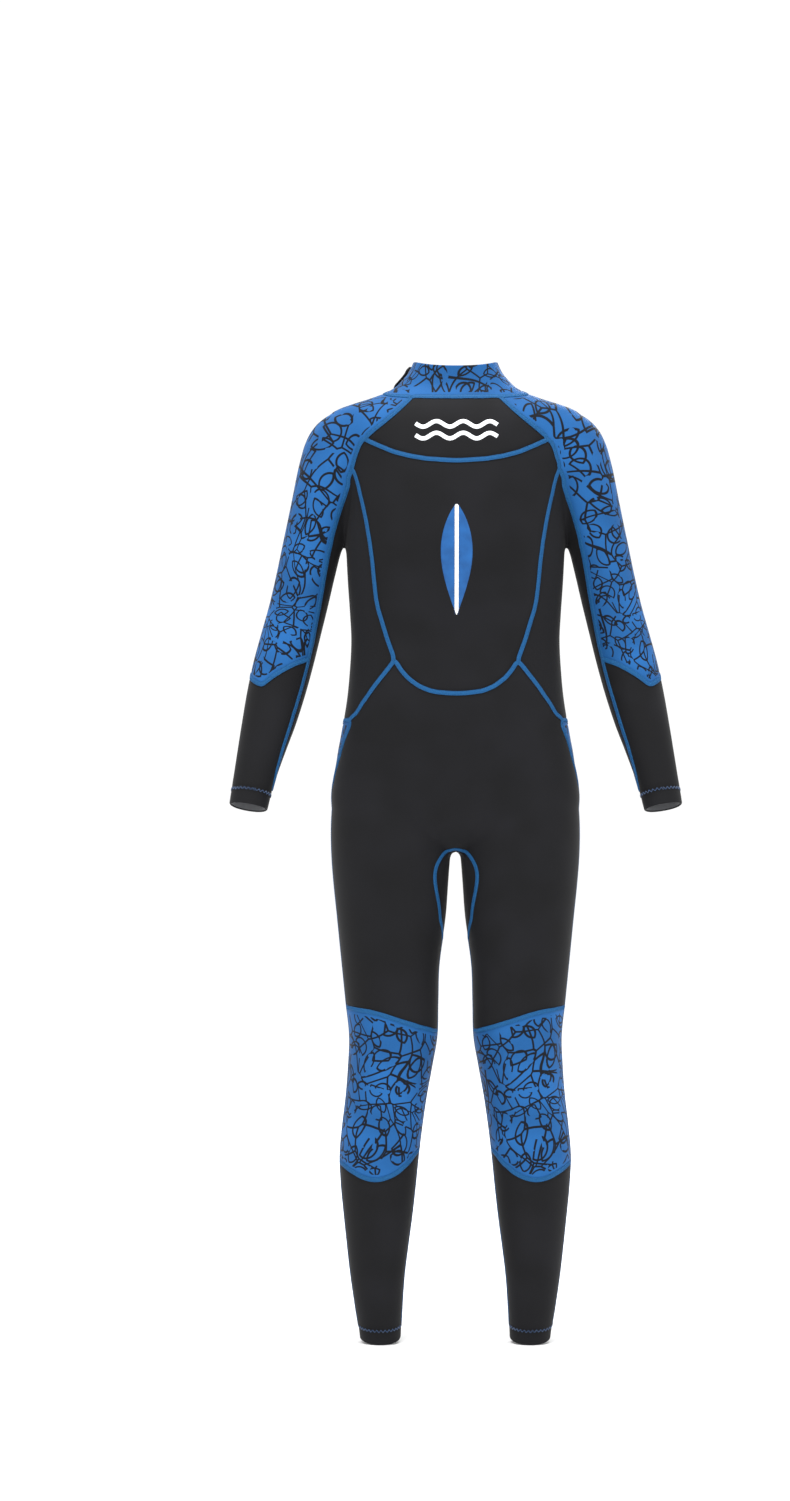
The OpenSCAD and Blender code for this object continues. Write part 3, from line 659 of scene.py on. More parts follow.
def jersey_neoprene():
    """Black nylon jersey bonded to foam rubber: dull, faintly fuzzy, with tiny loops in rows."""
    material, tree, shader = finish_of("jersey_neoprene", Roughness=0.75, Sheen_Weight=0.03,
                                       Sheen_Roughness=0.5,
                                       Specular_IOR_Level=0.12)
    loops, swell = knitted(tree, shader, on_cloth(tree), LOOP_PITCH, 0.10)
    base = toned(tree, None, "#121214", "#161619", swell, 0.3, 0.7)
    # Darker within a few millimetres of each seam: painted shade where the panel's edge sinks under the
    # stitches
    gap = add(tree, "Attribute", attribute_name="seam_gap").outputs["Fac"]
    near = add(tree, "MapRange", {"Value": gap, "From Min": 1.5, "From Max": 9.0, "To Min": 0.8})
    weave = add(tree, "MapRange", {"Value": loops, "From Max": 0.8, "To Min": 1.08, "To Max": 0.86})
    shade = add(tree, "Math", {0: near.outputs[0], 1: weave.outputs[0]}, operation="MULTIPLY").outputs[0]
    colour = add(tree, "VectorMath", {0: base, "Scale": shade}, operation="SCALE").outputs[0]
    tree.links.new(colour, shader.inputs["Base Color"])
    return material


def less(tree, value, amount):
    """value minus amount, made positive on both sides of 0."""
    apart = add(tree, "Math", {0: value, 1: amount}, operation="SUBTRACT").outputs[0]
    return add(tree, "Math", {0: apart}, operation="ABSOLUTE").outputs[0]


def printed_neoprene():
    """The same jersey, dye-printed: loose black lines that close into petals, loops and long curves on blue.

    Ink and ground share one dull face; the pattern piece is printed up to a plain margin at its seams."""
    material, tree, shader = finish_of("printed_neoprene", Roughness=0.7, Sheen_Weight=0.03,
                                       Sheen_Roughness=0.5,
                                       Specular_IOR_Level=0.15)
    place = on_cloth(tree)
    loops, swell = knitted(tree, shader, place, LOOP_PITCH, 0.10)

    wander = add(tree, "TexNoise", {"Vector": place, "Scale": 1 / WANDER, "Detail": 0.0},
                 noise_dimensions="2D")
    middle = add(tree, "VectorMath", {0: wander.outputs["Color"], 1: (0.5, 0.5, 0.5)}, operation="SUBTRACT")
    drift = add(tree, "VectorMath", {0: middle.outputs[0], "Scale": DRIFT}, operation="SCALE").outputs[0]
    bent = add(tree, "VectorMath", {0: place, 1: drift}, operation="ADD").outputs[0]

    # Cells whose walls meet at nodes, and long curves across them
    lines = []
    far_place = add(tree, "VectorMath", {0: bent, 1: drift}, operation="ADD").outputs[0]
    for at, size, jitter in ((bent, CELL, 0.75), (far_place, SWEEP, 1.0)):
        walls = add(tree, "TexVoronoi", {"Vector": at, "Scale": 1 / size, "Randomness": jitter},
                    voronoi_dimensions="2D", feature="DISTANCE_TO_EDGE").outputs["Distance"]
        lines.append(add(tree, "Math", {0: walls, 1: size}, operation="MULTIPLY").outputs[0])
    # Petals: the overlap of two circles, turned by chance; and loops: a circle cut off straight
    for shape, pitch, radius, shift in (PETAL, LOOP):
        scatter = add(tree, "TexVoronoi", {"Vector": bent, "Scale": 1 / pitch, "Randomness": 0.3},
                      voronoi_dimensions="2D")
        local = add(tree, "VectorMath", {0: bent, 1: scatter.outputs["Position"]},
                    operation="SUBTRACT").outputs[0]
        chance = add(tree, "SeparateColor", {0: scatter.outputs["Color"]})
        turn = add(tree, "Math", {0: chance.outputs[0], 1: 2 * math.pi}, operation="MULTIPLY").outputs[0]
        turned = add(tree, "VectorRotate", {"Vector": local, "Angle": turn},
                     rotation_type="Z_AXIS").outputs[0]
        if shape == "petal":
            sides = []
            for sign in (-1, 1):
                apart = add(tree, "VectorMath", {0: turned, 1: (sign * shift, 0, 0)},
                            operation="ADD").outputs[0]
                sides.append(add(tree, "VectorMath", {0: apart}, operation="LENGTH").outputs["Value"])
            reach = add(tree, "Math", {0: sides[0], 1: sides[1]}, operation="MAXIMUM").outputs[0]
        else:
            round_side = add(tree, "VectorMath", {0: turned}, operation="LENGTH").outputs["Value"]
            along = add(tree, "SeparateXYZ", {0: turned}).outputs[0]
            straight = add(tree, "Math", {0: along, 1: radius - shift}, operation="ADD").outputs[0]
            reach = add(tree, "Math", {0: round_side, 1: straight}, operation="MAXIMUM").outputs[0]
        lines.append(less(tree, reach, radius))

    nearest = lines[0]
    for line in lines[1:]:
        nearest = add(tree, "Math", {0: nearest, 1: line}, operation="MINIMUM").outputs[0]
    # Some lines break off
    breaks = add(tree, "TexNoise", {"Vector": place, "Scale": 1 / 11, "Detail": 0.0}, noise_dimensions="2D")
    broken = add(tree, "MapRange",
                 {"Value": breaks.outputs["Fac"], "From Min": 0.72, "From Max": 0.75, "To Max": 3.0})
    gap = add(tree, "Attribute", attribute_name="seam_gap").outputs["Fac"]
    margin = add(tree, "MapRange",
                 {"Value": gap, "From Min": MARGIN, "From Max": MARGIN + 1.0, "To Min": 3.0,
                                    "To Max": 0.0})
    held_back = add(tree, "Math", {0: broken.outputs[0], 1: margin.outputs[0]}, operation="ADD").outputs[0]
    edge = add(tree, "Math", {0: nearest, 1: held_back}, operation="ADD").outputs[0]
    ink = add(tree, "MapRange", {"Value": edge, "From Min": LINE - 0.15, "From Max": LINE + 0.25,
                                 "To Min": 1.0, "To Max": 0.0}).outputs[0]
    ground = toned(tree, None, "#174E84", "#1E5B98", swell, 0.3, 0.7)
    colour = add(tree, "Mix", {"Factor": ink, "A": ground, "B": linear("#060C16")},
                 data_type="RGBA").outputs[2]
    weave = add(tree, "MapRange", {"Value": loops, "From Max": 0.8, "To Min": 1.05, "To Max": 0.9})
    shaded = add(tree, "VectorMath", {0: colour, "Scale": weave.outputs[0]}, operation="SCALE").outputs[0]
    tree.links.new(shaded, shader.inputs["Base Color"])
    return material


def grey_lining():
    """Grey jersey on the inside of the sheet, brushed a little softer than the face."""
    material, tree, shader = finish_of("grey_jersey_lining", Roughness=0.85, Sheen_Weight=0.25)
    swell = knitted(tree, shader, in_space(tree), 1.1, 0.12, "3D")[1]
    toned(tree, shader, "#4A4B4E", "#5E5F62", swell, 0.3, 0.7)
    return material


def flatlock_thread():
    """Textured polyester thread, twisted: a soft satin blue whose darker tone, in random spots, is painted
    shade between its strands.
    """
    return one_texture("polyester_thread", "TexNoise", {"Scale": 1.6, "Detail": 3.0}, "Fac",
                       ("#134674", "#1F6094"), (0.35, 0.65), relief=(0.5, 0.1),
                       Roughness=0.6, Sheen_Weight=0.03, Specular_IOR_Level=0.15)[0]


def hem_thread():
    """The thread of the hems' zigzag, a duller blue that half sinks into the jersey."""
    return one_texture("hem_thread", "TexNoise", {"Scale": 1.4, "Detail": 3.0}, "Fac",
                       ("#142C4C", "#234A78"), (0.35, 0.65), Roughness=0.6, Sheen_Weight=0.2)[0]


def woven_tape():
    """Polyester twill of the zip's tape: fine slanting ribs, dull black."""
    return one_texture("woven_polyester_tape", "TexWave", {"Scale": 0.32, "Distortion": 0.4}, "Fac",
                       ("#121214", "#26262A"), (0.0, 1.0), relief=(0.6, 0.15),
                       settings={"bands_direction": "DIAGONAL"}, Roughness=0.7, Sheen_Weight=0.2)[0]


def moulded_acetal():
    """Injection-moulded acetal of the zip's teeth: smooth, half-gloss black with faint flow marks."""
    material, tree, shader, marks = one_texture(
        "moulded_acetal", "TexNoise", {"Scale": 0.9, "Detail": 4.0}, "Fac", ("#131416", "#232529"), (0.3,
                                                                                                     0.7),
        Roughness=0.38, IOR=1.48)
    rough = add(tree, "MapRange", {"Value": marks, "To Min": 0.3, "To Max": 0.5})
    tree.links.new(rough.outputs[0], shader.inputs["Roughness"])
    return material


def enamelled_zinc():
    """Die-cast zinc under baked black enamel: glossy, slightly orange-peeled, worn thin on its high spots."""
    material, tree, shader = finish_of("enamelled_zinc", Roughness=0.28, Coat_Weight=0.4,
                                       Coat_Roughness=0.15)
    place = in_space(tree)
    peel = add(tree, "TexNoise", {"Vector": place, "Scale": 1.1, "Detail": 2.0})
    scuffs = add(tree, "TexNoise", {"Vector": place, "Scale": 0.35, "Detail": 6.0, "Roughness": 0.7})
    toned(tree, shader, "#17181B", "#3B3D42", scuffs.outputs["Fac"], 0.5, 0.75)
    bump = add(tree, "Bump", {"Height": peel.outputs["Fac"], "Strength": 0.25, "Distance": 0.08 * MM})
    tree.links.new(bump.outputs[0], shader.inputs["Normal"])
    return material


def hook_tape():
    """Moulded nylon hooks, close and stiff: a dark face with a painted glint in points, lighter at the middle
    of each hook's cell.
    """
    # The lighter tone where each hook's relief stands highest is a painted highlight
    return one_texture("nylon_hooks", "TexVoronoi", {"Scale": 0.9, "Randomness": 0.3}, "Distance",
                       ("#3A3A3E", "#141416"), (0.0, 0.6), relief=(0.9, -0.4), Roughness=0.45)[0]


def loop_tape():
    """Brushed nylon loops: a soft, felted charcoal."""
    return one_texture("brushed_nylon_loops", "TexNoise",
                       {"Scale": 1.2, "Detail": 6.0, "Roughness": 0.75}, "Fac",
                       ("#242427", "#3C3C40"), (0.35, 0.65), relief=(0.8, 0.3),
                       Roughness=0.92, Sheen_Weight=0.15)[0]


def transfer_film(name, dark, light):
    """Heat-pressed polyurethane film: smooth and faintly satin, with the jersey's rows pressed through it."""
    material, tree, shader = finish_of(name, Roughness=0.42, IOR=1.5, Specular_IOR_Level=0.25)
    place = in_space(tree)
    rows = add(tree, "TexVoronoi", {"Vector": place, "Scale": 1.1, "Randomness": 0.35})
    cloud = add(tree, "TexNoise", {"Vector": place, "Scale": 0.08, "Detail": 3.0})
    toned(tree, shader, dark, light, cloud.outputs["Fac"], 0.3, 0.7)
    bump = add(tree, "Bump", {"Height": rows.outputs["Distance"], "Strength": 0.2, "Distance": 0.05 * MM})
    tree.links.new(bump.outputs[0], shader.inputs["Normal"])
    return material


BLACK = jersey_neoprene()
PRINT = printed_neoprene()
LINING = grey_lining()
THREAD = flatlock_thread()
HEM_THREAD = hem_thread()
TAPE = woven_tape()
TEETH = moulded_acetal()
METAL = enamelled_zinc()
HOOKS = hook_tape()
LOOPS = loop_tape()
WHITE_FILM = transfer_film("white_polyurethane_film", "#E4E8EC", "#F6F8FA")
BLUE_FILM = transfer_film("blue_polyurethane_film", "#154A82", "#1B5897")


# ---------------------------------------------------------------- panels
def flat_pattern(points, faces, ring_height=None):
    """Each point's place on the flat cut piece in metres, and the piece's width and length."""
    p = points * MM
    if ring_height:
        middle = p.mean(axis=0)
        around = np.arctan2(p[:, 1] - middle[1], p[:, 0] - middle[0])
        size = np.hypot(p[:, 0] - middle[0], p[:, 1] - middle[1]).mean()
        return np.stack([around * size, p[:, 2] - middle[2]], axis=1), (2 * math.pi * size, ring_height)
    mesh = bpy.data.meshes.new("flat_pattern")
    mesh.from_pydata(p.tolist(), [], faces)
    obj = bpy.data.objects.new("flat_pattern", mesh)
    bpy.context.scene.collection.objects.link(obj)
    editing(obj)
    bpy.ops.uv.unwrap(method="CONFORMAL", margin=0.0)
    bpy.ops.object.mode_set(mode="OBJECT")
    flat = np.empty(len(mesh.loops) * 2, np.float32)
    mesh.uv_layers.active.data.foreach_get("uv", flat)
    owner = np.empty(len(mesh.loops), np.int64)
    mesh.loops.foreach_get("vertex_index", owner)
    uv = np.zeros((len(p), 2))
    uv[owner] = flat.reshape(-1, 2)
    laid, real = 0.0, 0.0
    for face in faces:
        for b, c in zip(face[1:-1], face[2:]):
            du, dv = uv[b] - uv[face[0]], uv[c] - uv[face[0]]
            laid += abs(du[0] * dv[1] - du[1] * dv[0]) / 2
            real += np.linalg.norm(np.cross(p[b] - p[face[0]], p[c] - p[face[0]])) / 2
    bpy.data.objects.remove(obj)
    uv *= math.sqrt(real / laid)
    width, length = uv.max(axis=0) - uv.min(axis=0)
    return uv, (float(width), float(length), real)


def make_panel(name, corner_ids, faces, all_points, all_normals, seam_tree, sinks, open_points):
    """One cut panel: its face with sunk seam edges, its lining 3 mm under it, and its edge all round."""
    renumber = {int(v): i for i, v in enumerate(corner_ids)}
    faces = [tuple(renumber[int(v)] for v in f) for f in faces]
    base, normal = all_points[corner_ids], all_normals[corner_ids]
    sink, gap, lean = np.zeros(len(base)), np.zeros(len(base)), np.zeros((len(base), 3))
    for i, p in enumerate(base):
        spot, index, distance = seam_tree.find(p)
        gap[i] = min(distance, AWAY)
        sink[i] = sinks[index] * math.exp(-(distance / SINK_REACH) ** 2)
        if distance > 0.05:
            lean[i] = (p - np.array(spot)) / distance * 2 * sink[i] * distance / SINK_REACH**2
    outer = base - normal * sink[:, None]
    facing = normal - lean
    facing /= np.linalg.norm(facing, axis=1)[:, None]
    inner = base - normal * SHEET

    ring = "hem" in name
    height = (WRIST_HEM if "wrist" in name else ANKLE_HEM) * MM if ring else None
    uv, cut_size = flat_pattern(base, faces, height)

    directed = {(f[i], f[(i + 1) % len(f)]) for f in faces for i in range(len(f))}
    edges = [(a, b) for a, b in directed if (b, a) not in directed]
    away = np.zeros((len(base), 3))
    for a, b in sorted(edges):
        out = np.cross(base[b] - base[a], normal[a])
        away[a] += out
        away[b] += out
    on_edge = np.linalg.norm(away, axis=1) > 0
    away[on_edge] /= np.linalg.norm(away[on_edge], axis=1)[:, None]
    bulge = np.array([RIM if int(v) in open_points else 0.0 for v in corner_ids])

    count = len(base)
    rim_ids = np.nonzero(on_edge)[0]
    rim_of = {int(v): i for i, v in enumerate(rim_ids)}
    points, normals, places = [outer, inner], [facing, -normal], [uv, uv]
    steps = (0.25, 0.5, 0.75)
    for t in steps:
        across, turn = math.sin(math.pi * t), math.cos(math.pi * t)
        row = outer[rim_ids] * (1 - t) + inner[rim_ids] * t
        points.append(row + away[rim_ids] * (bulge[rim_ids] * across)[:, None])
        normals.append(normal[rim_ids] * turn + away[rim_ids] * across)
        places.append(uv[rim_ids])
    points, normals, places = (np.concatenate(x) for x in (points, normals, places))
    all_faces = list(faces) + [tuple(v + count for v in f[::-1]) for f in faces]
    for a, b in sorted(edges):
        rows = [(a, b)]
        for k in range(len(steps)):
            first = 2 * count + k * len(rim_ids)
            rows.append((first + rim_of[a], first + rim_of[b]))
        rows.append((a + count, b + count))
        for (top_a, top_b), (low_a, low_b) in zip(rows, rows[1:]):
            all_faces.append((top_b, top_a, low_a, low_b))

    mesh = meshed(name + "_cloth", points, all_faces, uv=places)
    lined = [1 if len(faces) <= i < 2 * len(faces) else 0 for i in range(len(all_faces))]
    mesh.polygons.foreach_set("material_index", lined)
    attribute = mesh.attributes.new("seam_gap", "FLOAT", "POINT")
    gaps = np.concatenate([gap, gap] + [gap[rim_ids]] * len(steps))
    attribute.data.foreach_set("value", gaps.astype(np.float32))
    mesh.normals_split_custom_set_from_vertices(normals.tolist())
    printed = slots_of(("neoprene_print",)).get(name)
    obj = placed(name + "_cloth", mesh, [PRINT if printed else BLACK, LINING],
                 nodes=[name])


# Section of a flatlock seam: across, height
BAND = np.array([[-2.5, -1.1], [-2.2, 0], [-1.2, 0.28], [0, 0.34], [1.2, 0.28], [2.2, 0], [2.5, -1.1]])


def strand(radius, sides=4):
    turns = 2 * math.pi * (np.arange(sides) + 0.5) / sides
    return np.stack([np.cos(turns), np.sin(turns)], axis=1) * radius


def frames_along(line):
    """A run's points on the form, with the directions across it and out of it at each."""
    normal, _ = outward(line)
    ahead = np.gradient(line, axis=0)
    side = np.cross(ahead, normal)
    side /= np.maximum(np.linalg.norm(side, axis=1), 1e-9)[:, None]
    return line, side, normal


def zigzag(line, step, half, low, high, radius):
    """A thread that crosses from one side of a run to the other and back."""
    path, side, normal = frames_along(evenly(line, step / 2))
    across = np.array([(-1, 0, 1, 0)[i % 4] for i in range(len(path))], float) * half
    height = np.where(across == 0, high, low)
    thread = path + side * across[:, None] + normal * height[:, None]
    ahead = np.gradient(thread, axis=0)
    ahead /= np.maximum(np.linalg.norm(ahead, axis=1), 1e-9)[:, None]
    beside = np.cross(ahead, normal)
    beside /= np.maximum(np.linalg.norm(beside, axis=1), 1e-9)[:, None]
    return swept(thread, beside, normal, strand(radius))


def flatlocked(line):
    """A flatlock seam: the bed of looper thread, the crossing threads on it and a needle row on each edge."""
    path, side, normal = frames_along(evenly(line, 2.0))
    parts = [swept(path, side, normal, BAND[::-1])]
    parts.append(zigzag(line, 1.0, 2.0, 0.15, 0.42, 0.3))
    for across in (-2.15, 2.15):
        parts.append(swept(path + side * across + normal * 0.12, side, normal, strand(0.34)))
    return merged(parts)


def hem_stitched(line):
    """The open zigzag that holds a folded hem."""
    return zigzag(line, 2.4, 1.5, 0.12, 0.3, 0.42)


nearest_panel = nearest_node(PANELS)
form_points, form_faces = caught_in_grid()
form_points = relaxed(form_points, form_faces, 2)
probe = form_faces[len(form_faces) // 2]
corner, second, third = form_points[probe[:3]]
if np.cross(second - corner, third - corner) @ outward(form_points[probe[:1]])[0][0] < 0:
    form_faces = form_faces[:, ::-1]
cutter = Cutter(form_points, labelled(form_points, form_faces, nearest_panel), nearest_panel)
cutter.run(form_faces)
points = np.array(cutter.points)

runs = []
for pair, segments in sorted(cutter.borders.items()):
    for run in chained(segments):
        line = smoothed(points[run], 10)
        points[run] = on_form(line, 1) if pair[0] >= 0 else line
        runs.append((pair, run))
normals_out, _ = outward(points)
open_ids = {int(v) for pair, run in runs if pair[0] < 0 for v in run}

nearest_seam = nearest_node(SEAMS)
seam_lines, hem_lines = {}, {}
sunk_points, sinks = [], []
for pair, run in runs:
    line = points[run]
    length = np.linalg.norm(np.diff(line, axis=0), axis=1).sum()
    if pair[0] < 0 or length < 4:
        continue
    names = [PANELS[i] for i in pair]
    hems = [n for n in names if "hem" in n]
    dense = evenly(line, 1.2)
    if hems:
        hem_lines.setdefault(hems[0], []).append(line)
        depth = HEM_SINK
    else:
        votes = [nearest_seam(p) for p in dense[::8]]
        owner = max(set(votes), key=votes.count)
        seam_lines.setdefault(SEAMS[owner], []).append(line)
        depth = SEAM_SINK
    sunk_points += list(dense)
    sinks += [depth] * len(dense)
seam_tree = KDTree(len(sunk_points))
for i, p in enumerate(sunk_points):
    seam_tree.insert(p, i)
seam_tree.balance()

for label, faces in sorted(cutter.faces.items()):
    ids = np.unique(np.concatenate([np.array(f) for f in faces]))
    make_panel(PANELS[label], ids, faces, points, normals_out, seam_tree, sinks, open_ids)

for name in SEAMS:
    parts = [flatlocked(line) for line in seam_lines.get(name, [])]
    if parts:
        seam_points, seam_faces = merged(parts)
        mesh = meshed(name + "_stitches", seam_points, seam_faces)
        placed(name + "_stitches", mesh, [THREAD], nodes=[name])
for name, lines in sorted(hem_lines.items()):
    hem_points, hem_faces = merged([hem_stitched(line) for line in lines])
    mesh = meshed(name + "_stitch", hem_points, hem_faces)
    placed(name + "_stitch", mesh, [HEM_THREAD])


# ---------------------------------------------------------------- zip
ZIP_TOP = np.array([0.0, 59.1 + MIDDLE_Y, 1074.0])
ZIP_TILT = math.radians(1.22)
ZIP_UP = np.array([0.0, -math.sin(ZIP_TILT), math.cos(ZIP_TILT)])
ZIP_OUT = np.array([0.0, math.cos(ZIP_TILT), math.sin(ZIP_TILT)])
TOOTH_PITCH = 5.0
FIRST_TOOTH = -6.6         # under the top stops
CHAIN = (-5.2, -2.2)       # inner and outer face of the teeth
# A tooth seen from behind: its root on the tape and the head that locks past the middle
TOOTH = [(4.4, -1.0), (1.0, -0.75), (0.4, -1.12), (-0.9, -0.85)]
TOOTH += [(x, -z) for x, z in reversed(TOOTH)]
TAPE_EDGES = (4.0, 14.1)
BAFFLE_HALF = 24.0
TOPSTITCH_X = 11.2         # its distance from the middle


def on_zip(across, out, up):
    return ZIP_TOP + np.array([across, 0.0, 0.0]) + ZIP_OUT * out + ZIP_UP * up


def bevelled(obj, width, segments=2):
    modifier = obj.modifiers.new("edges", "BEVEL")
    modifier.width = width * MM
    modifier.segments = segments
    modifier.limit_method = "ANGLE"
    modifier.angle_limit = math.radians(30)
    return obj


def make_teeth(side):
    """One side's teeth, half a pitch off the other side's, so that the two sides lock."""
    name = "zip_teeth_left" if side > 0 else "zip_teeth_right"
    low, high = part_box(name)
    span = (high[2] - low[2]) / MM
    count = len(TOOTH)
    parts = []
    for i in range(int((span - 3) / TOOTH_PITCH)):
        middle = FIRST_TOOTH - i * TOOTH_PITCH - (TOOTH_PITCH / 2 if side > 0 else 0)
        tooth = [on_zip(side * x, out, middle + z) for out in CHAIN for x, z in TOOTH]
        faces = [tuple(range(count)), tuple(range(2 * count - 1, count - 1, -1))]
        faces += [((j + 1) % count, j, j + count, (j + 1) % count + count) for j in range(count)]
        parts.append((np.array(tooth), faces))
    mesh = meshed(name + "_moulded", *merged(parts), smooth=False)
    obj = placed(name + "_moulded", mesh, [TEETH], nodes=[name])
    bevelled(turned_out(obj), 0.3)


def softened(name, material, body, width):
    """A CAD piece with its edges rounded as casting or moulding leaves them."""
    mesh = frame["nodes"][name].data.copy()
    mesh.name = name + "_finished"
    mesh.materials.clear()
    obj = placed(name + "_finished", mesh, [material], body, [name])
    bevelled(obj, width, 3)
    return obj


def strip(node, made, across, rows, low, high, edge, material):
    """A long strip up the back, that far under the form."""
    bottom, top = (corner[2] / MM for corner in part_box(node))
    start, direction = on_back(across[None, :], np.linspace(bottom, top, rows)[:, None])
    name = node + made
    mesh = meshed(name, *slab(start, direction, low, high, edge))
    obj = turned_out(placed(name, mesh, [material], nodes=[node]))


def make_tape(side):
    """The tape that carries one side's teeth, lying on the inside of the panel."""
    node = "zip_tape_left" if side > 0 else "zip_tape_right"
    near, far = TAPE_EDGES
    across = side * np.array([near, near + 0.9, 7.5, 10.5, far - 0.7, far])
    strip(node, "_woven", across, 90, -4.4, -3.4, 0.6, TAPE)


def make_baffle():
    """The smooth flap behind the zip, which keeps it off the skin."""
    across = np.linspace(-BAFFLE_HALF, BAFFLE_HALF, 17)
    strip("zip_baffle", "_sewn", across, 100, -11.8, -9.6, 0.5, LINING)


def make_topstitching():
    """The lockstitch that holds each tape under its panel: short stitches whose ends dip into the cloth."""
    crosswise = np.tile([1.0, 0.0, 0.0], (5, 1))
    for side, word in ((-1, "right"), (1, "left")):
        parts = []
        for z in np.arange(zip_low + 6, COLLAR_SEAM - 6, 3.4):
            start, direction = on_back(np.full(5, side * TOPSTITCH_X), np.linspace(z, z + 2.7, 5))
            path = found(start, direction, np.array([-0.25, 0.2, 0.28, 0.2, -0.25]))
            parts.append(swept(path, crosswise, np.tile(ZIP_OUT, (5, 1)), strand(0.32, 6)))
        name = "zip_topstitch_" + word
        turned_out(placed(name, meshed(name, *merged(parts)), [THREAD]))


def make_end_patch():
    """The bonded patch that covers the bottom of the zip, with its rounded corners."""
    low, high = (np.array(c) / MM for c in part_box("zip_end_patch"))
    half, corner = high[0], 4.0
    up = np.concatenate([low[2] + corner * (1 - np.cos(np.linspace(0, math.pi / 2, 6))),
                         high[2] - corner * (1 - np.cos(np.linspace(math.pi / 2, 0, 6)))])
    inset = np.minimum(up - low[2], high[2] - up)
    reach = half - corner + np.sqrt(np.maximum(corner**2 - np.maximum(corner - inset, 0) ** 2, 0.0))
    across = np.linspace(-1, 1, 15)[None, :] * reach[:, None]
    start, direction = on_back(across, up[:, None])
    patch_points, faces = slab(start, direction, -0.2, 0.9, 0.4)
    uv = np.tile(np.stack([across.ravel(), np.repeat(up, 15)], axis=1) * MM, (2, 1))
    mesh = meshed("zip_end_patch_bonded", patch_points, faces, uv=uv)
    obj = turned_out(placed("zip_end_patch_bonded", mesh, [BLACK],
                            nodes=["zip_end_patch"]))


# ---------------------------------------------------------------- collar tab
def neck_slab(first, last, gap, low, high, corner, columns=13):
    """A strip round the collar between two angles, that gap over its seam and under its edge."""
    angles = np.linspace(first, last, 64)
    length = np.abs(angles - angles[-1]) * COLLAR_R
    foot = COLLAR_SEAM + COLLAR_RISE * COLLAR_R * np.sin(angles) + gap
    head = collar_rim(MIDDLE_Y + COLLAR_R * np.sin(angles)) - gap
    inset = np.maximum(corner - length, 0)
    cut = corner - np.sqrt(np.maximum(corner**2 - inset**2, 0))
    foot, head = foot + cut, head - cut
    share = np.linspace(0, 1, columns)
    z = foot[:, None] + (head - foot)[:, None] * share[None, :]
    start = np.stack([np.zeros(z.shape), np.full(z.shape, MIDDLE_Y), z], axis=-1)
    direction = np.stack([np.cos(angles), np.sin(angles), np.zeros_like(angles)], axis=-1)
    direction = np.repeat(direction[:, None, :], columns, axis=1)
    slab_points, faces = slab(start, direction, low, high, 0.45)
    uv = np.tile(np.stack([np.repeat(angles * COLLAR_R, columns), z.ravel()], axis=1) * MM, (2, 1))
    size = (abs(last - first) * (COLLAR_R + 2) * MM, float((head - foot).max()) * MM)
    return slab_points, faces, uv, size


def make_tab():
    """The closing tab: neoprene with hooks behind it, and the loops that it presses on."""
    root, tip = math.radians(73), math.radians(180)
    hooks_from, loops_from = math.radians(117), math.radians(111)
    # Node, ends, gaps to the collar's seam and edge, heights over the form, corner radius, finish, slot, body
    for node, first, last, gap, low, high, corner, material, slot, body in (
            ("collar_tab", root, tip, 3.5, 2.3, 4.8, 9.0, BLACK, "tab_black", "tab"),
            ("hook_patch", hooks_from, tip - 0.05, 6, 1.3, 2.2, 8.0, HOOKS, "hook_tape", "tab"),
            ("loop_patch", loops_from, tip + 0.02, 5, -0.3, 0.9, 8.0, LOOPS, "loop_tape", "suit")):
        name = node + "_cloth"
        tab_points, faces, uv, size = neck_slab(first, last, gap, low, high, corner)
        mesh = meshed(name, tab_points, faces, uv=uv)
        obj = turned_out(placed(name, mesh, [material], body, [node]))


# ---------------------------------------------------------------- marks on the chest
def film(x, z):
    """A thin film pressed onto the front."""
    return slab(*on_front(x, z), -0.1, 0.35, 0.5)


def pressed(node, parts, material):
    mesh = meshed(node + "_film", *merged(parts))
    turned_out(placed(node + "_film", mesh, [material], nodes=[node]))


def make_yoke_mark():
    """Two plain waves of white film across the yoke."""
    low, high = (np.array(c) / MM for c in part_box("yoke_mark"))
    tall, wave, width = 3.2, 30.0, 4.6
    x = np.linspace(low[0], high[0], 90)
    across = np.array([-1, -0.8, 0, 0.8, 1]) * width / 2
    slope = tall * 2 * math.pi / wave * np.cos(2 * math.pi * x / wave)
    bend = np.sqrt(1 + slope**2)
    parts = []
    for middle in (low[2] + tall + width / 2 - 0.4, high[2] - tall - width / 2 + 0.4):
        xs = x[:, None] - across[None, :] * (slope / bend)[:, None]
        zs = (middle + tall * np.sin(2 * math.pi * x / wave))[:, None] + across[None, :] / bend[:, None]
        parts.append(film(xs, zs))
    pressed("yoke_mark", parts, WHITE_FILM)


def make_chest_mark():
    """A plain surfboard outline of blue film with a white stripe down its middle."""
    low, high = (np.array(c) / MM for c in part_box("chest_mark"))
    share = np.linspace(0.004, 0.996, 70)
    up = (low[2] + (high[2] - low[2]) * share)[:, None]
    half = high[0] * np.sin(math.pi * share**1.25) ** 0.75
    stripe = 2.2
    inner = stripe + 0.2
    edge = np.maximum(half, stripe + 0.35)
    across = inner + np.linspace(0, 1, 9)[None, :] * (edge - inner)[:, None]
    pressed("chest_mark", [film(side * across, up) for side in (-1, 1)], BLUE_FILM)
    reach = np.minimum(half, stripe)
    across = np.linspace(-1, 1, 5)[None, :] * reach[:, None]
    pressed("chest_mark_stripe", [film(across, up)], WHITE_FILM)


for side in (-1, 1):
    make_teeth(side)
    make_tape(side)
softened("zip_stops", TEETH, "suit", 0.5)
softened("zip_slider", METAL, "slider", 0.35)
softened("zip_pull", METAL, "pull", 0.35)
make_baffle()
make_topstitching()
make_end_patch()
make_tab()
make_yoke_mark()
make_chest_mark()


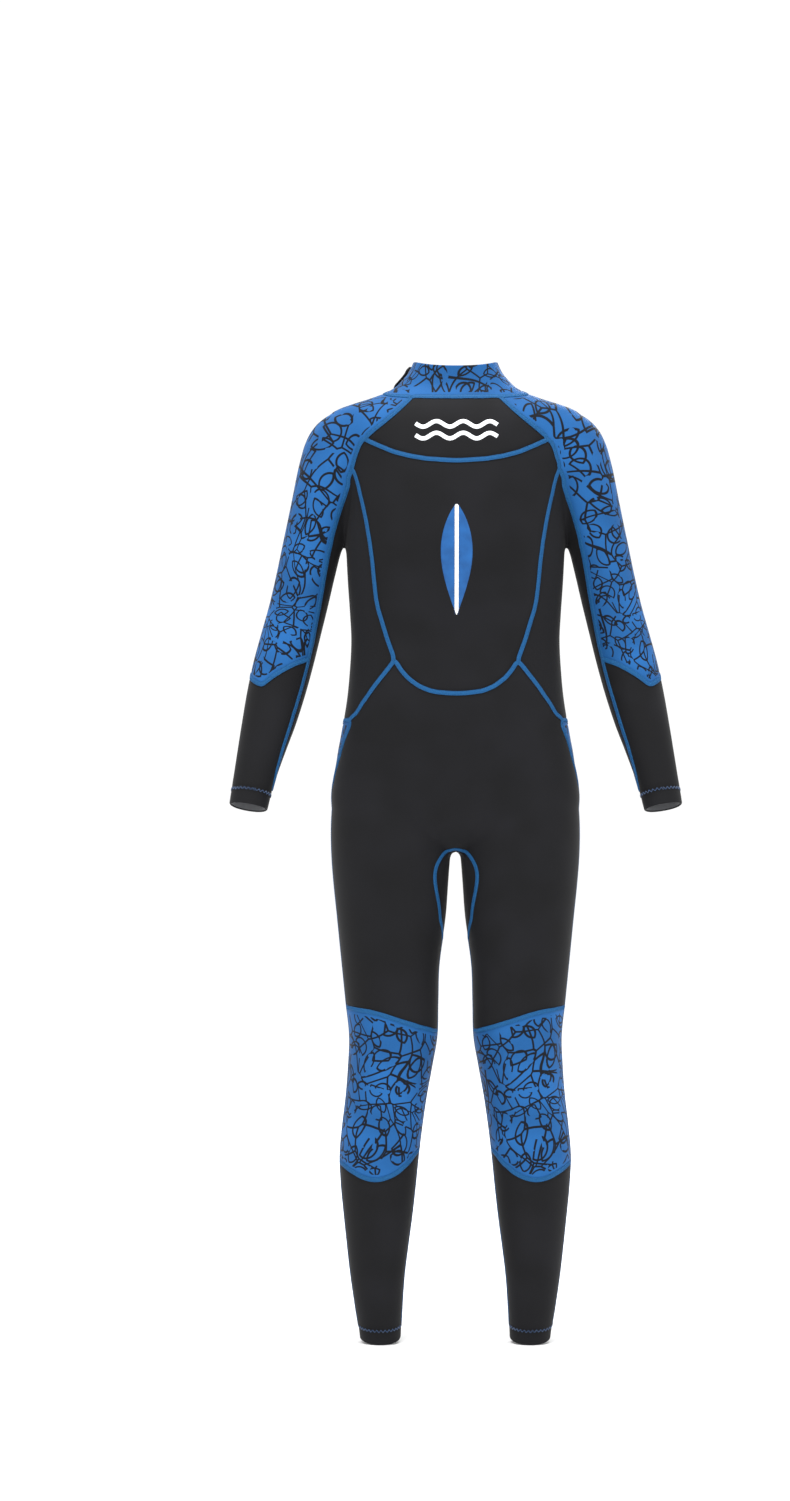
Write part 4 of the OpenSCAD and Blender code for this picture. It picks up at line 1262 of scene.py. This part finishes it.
# ---------------------------------------------------------------- floor, light and camera
def backdrop():
    """A wide sheet of plain white paper, just under the ankles' rims."""
    material, tree, shader = finish_of("matt_white_paper", Roughness=0.95, Specular_IOR_Level=0.1)
    grain = add(tree, "TexNoise", {"Vector": in_space(tree), "Scale": 0.05, "Detail": 2.0})
    toned(tree, shader, "#FAFAFA", "#FDFDFD", grain.outputs["Fac"], 0.3, 0.7)
    wide = 90
    floor = bpy.data.meshes.new("floor")
    floor.from_pydata([(-wide, -wide, 0), (wide, -wide, 0), (wide, wide, 0), (-wide, wide, 0)], [],
                      [(0, 1, 2, 3)])
    obj = bpy.data.objects.new("floor", floor)
    obj.location.z = -0.0015
    floor.materials.append(material)
    bpy.context.scene.collection.objects.link(obj)


def lamp(name, place, aim, size, power):
    light = bpy.data.lights.new(name, "AREA")
    light.shape, light.size, light.energy = "DISK", size, power
    obj = bpy.data.objects.new(name, light)
    obj.location = place
    obj.rotation_euler = (Vector(aim) - Vector(place)).to_track_quat("-Z", "Y").to_euler()
    bpy.context.scene.collection.objects.link(obj)


def studio():
    backdrop()
    world = bpy.data.worlds.new("studio")
    bpy.context.scene.world = world
    world.use_nodes = True
    sky = world.node_tree.nodes["Background"]
    sky.inputs["Color"].default_value = (1.0, 1.0, 1.0, 1.0)
    sky.inputs["Strength"].default_value = 1.06
    lamp("key", (-0.9, -2.4, 2.8), (0, 0, 0.9), 1.4, 42)
    lamp("top", (0.0, -0.4, 3.4), (0, 0, 1.0), 1.2, 72)
    lamp("fill", (2.0, -2.2, 1.5), (0, 0, 0.7), 1.8, 16)
    lamp("back", (0.8, 2.6, 2.2), (0, 0, 0.8), 1.6, 30)
    bpy.context.scene.view_settings.view_transform = "Standard"


def camera():
    """Level with the middle of the suit and well in front of it."""
    distance, frame_height = 4.0, 1.714
    lens = bpy.data.cameras.new("camera")
    lens.sensor_fit = "VERTICAL"
    lens.sensor_height = 24.0
    lens.lens = lens.sensor_height * distance / frame_height
    obj = bpy.data.objects.new("camera", lens)
    obj.location = (-0.069, -distance, 0.677)
    obj.rotation_euler = (math.pi / 2, 0, 0)
    bpy.context.scene.collection.objects.link(obj)
    bpy.context.scene.camera = obj


studio()
camera()
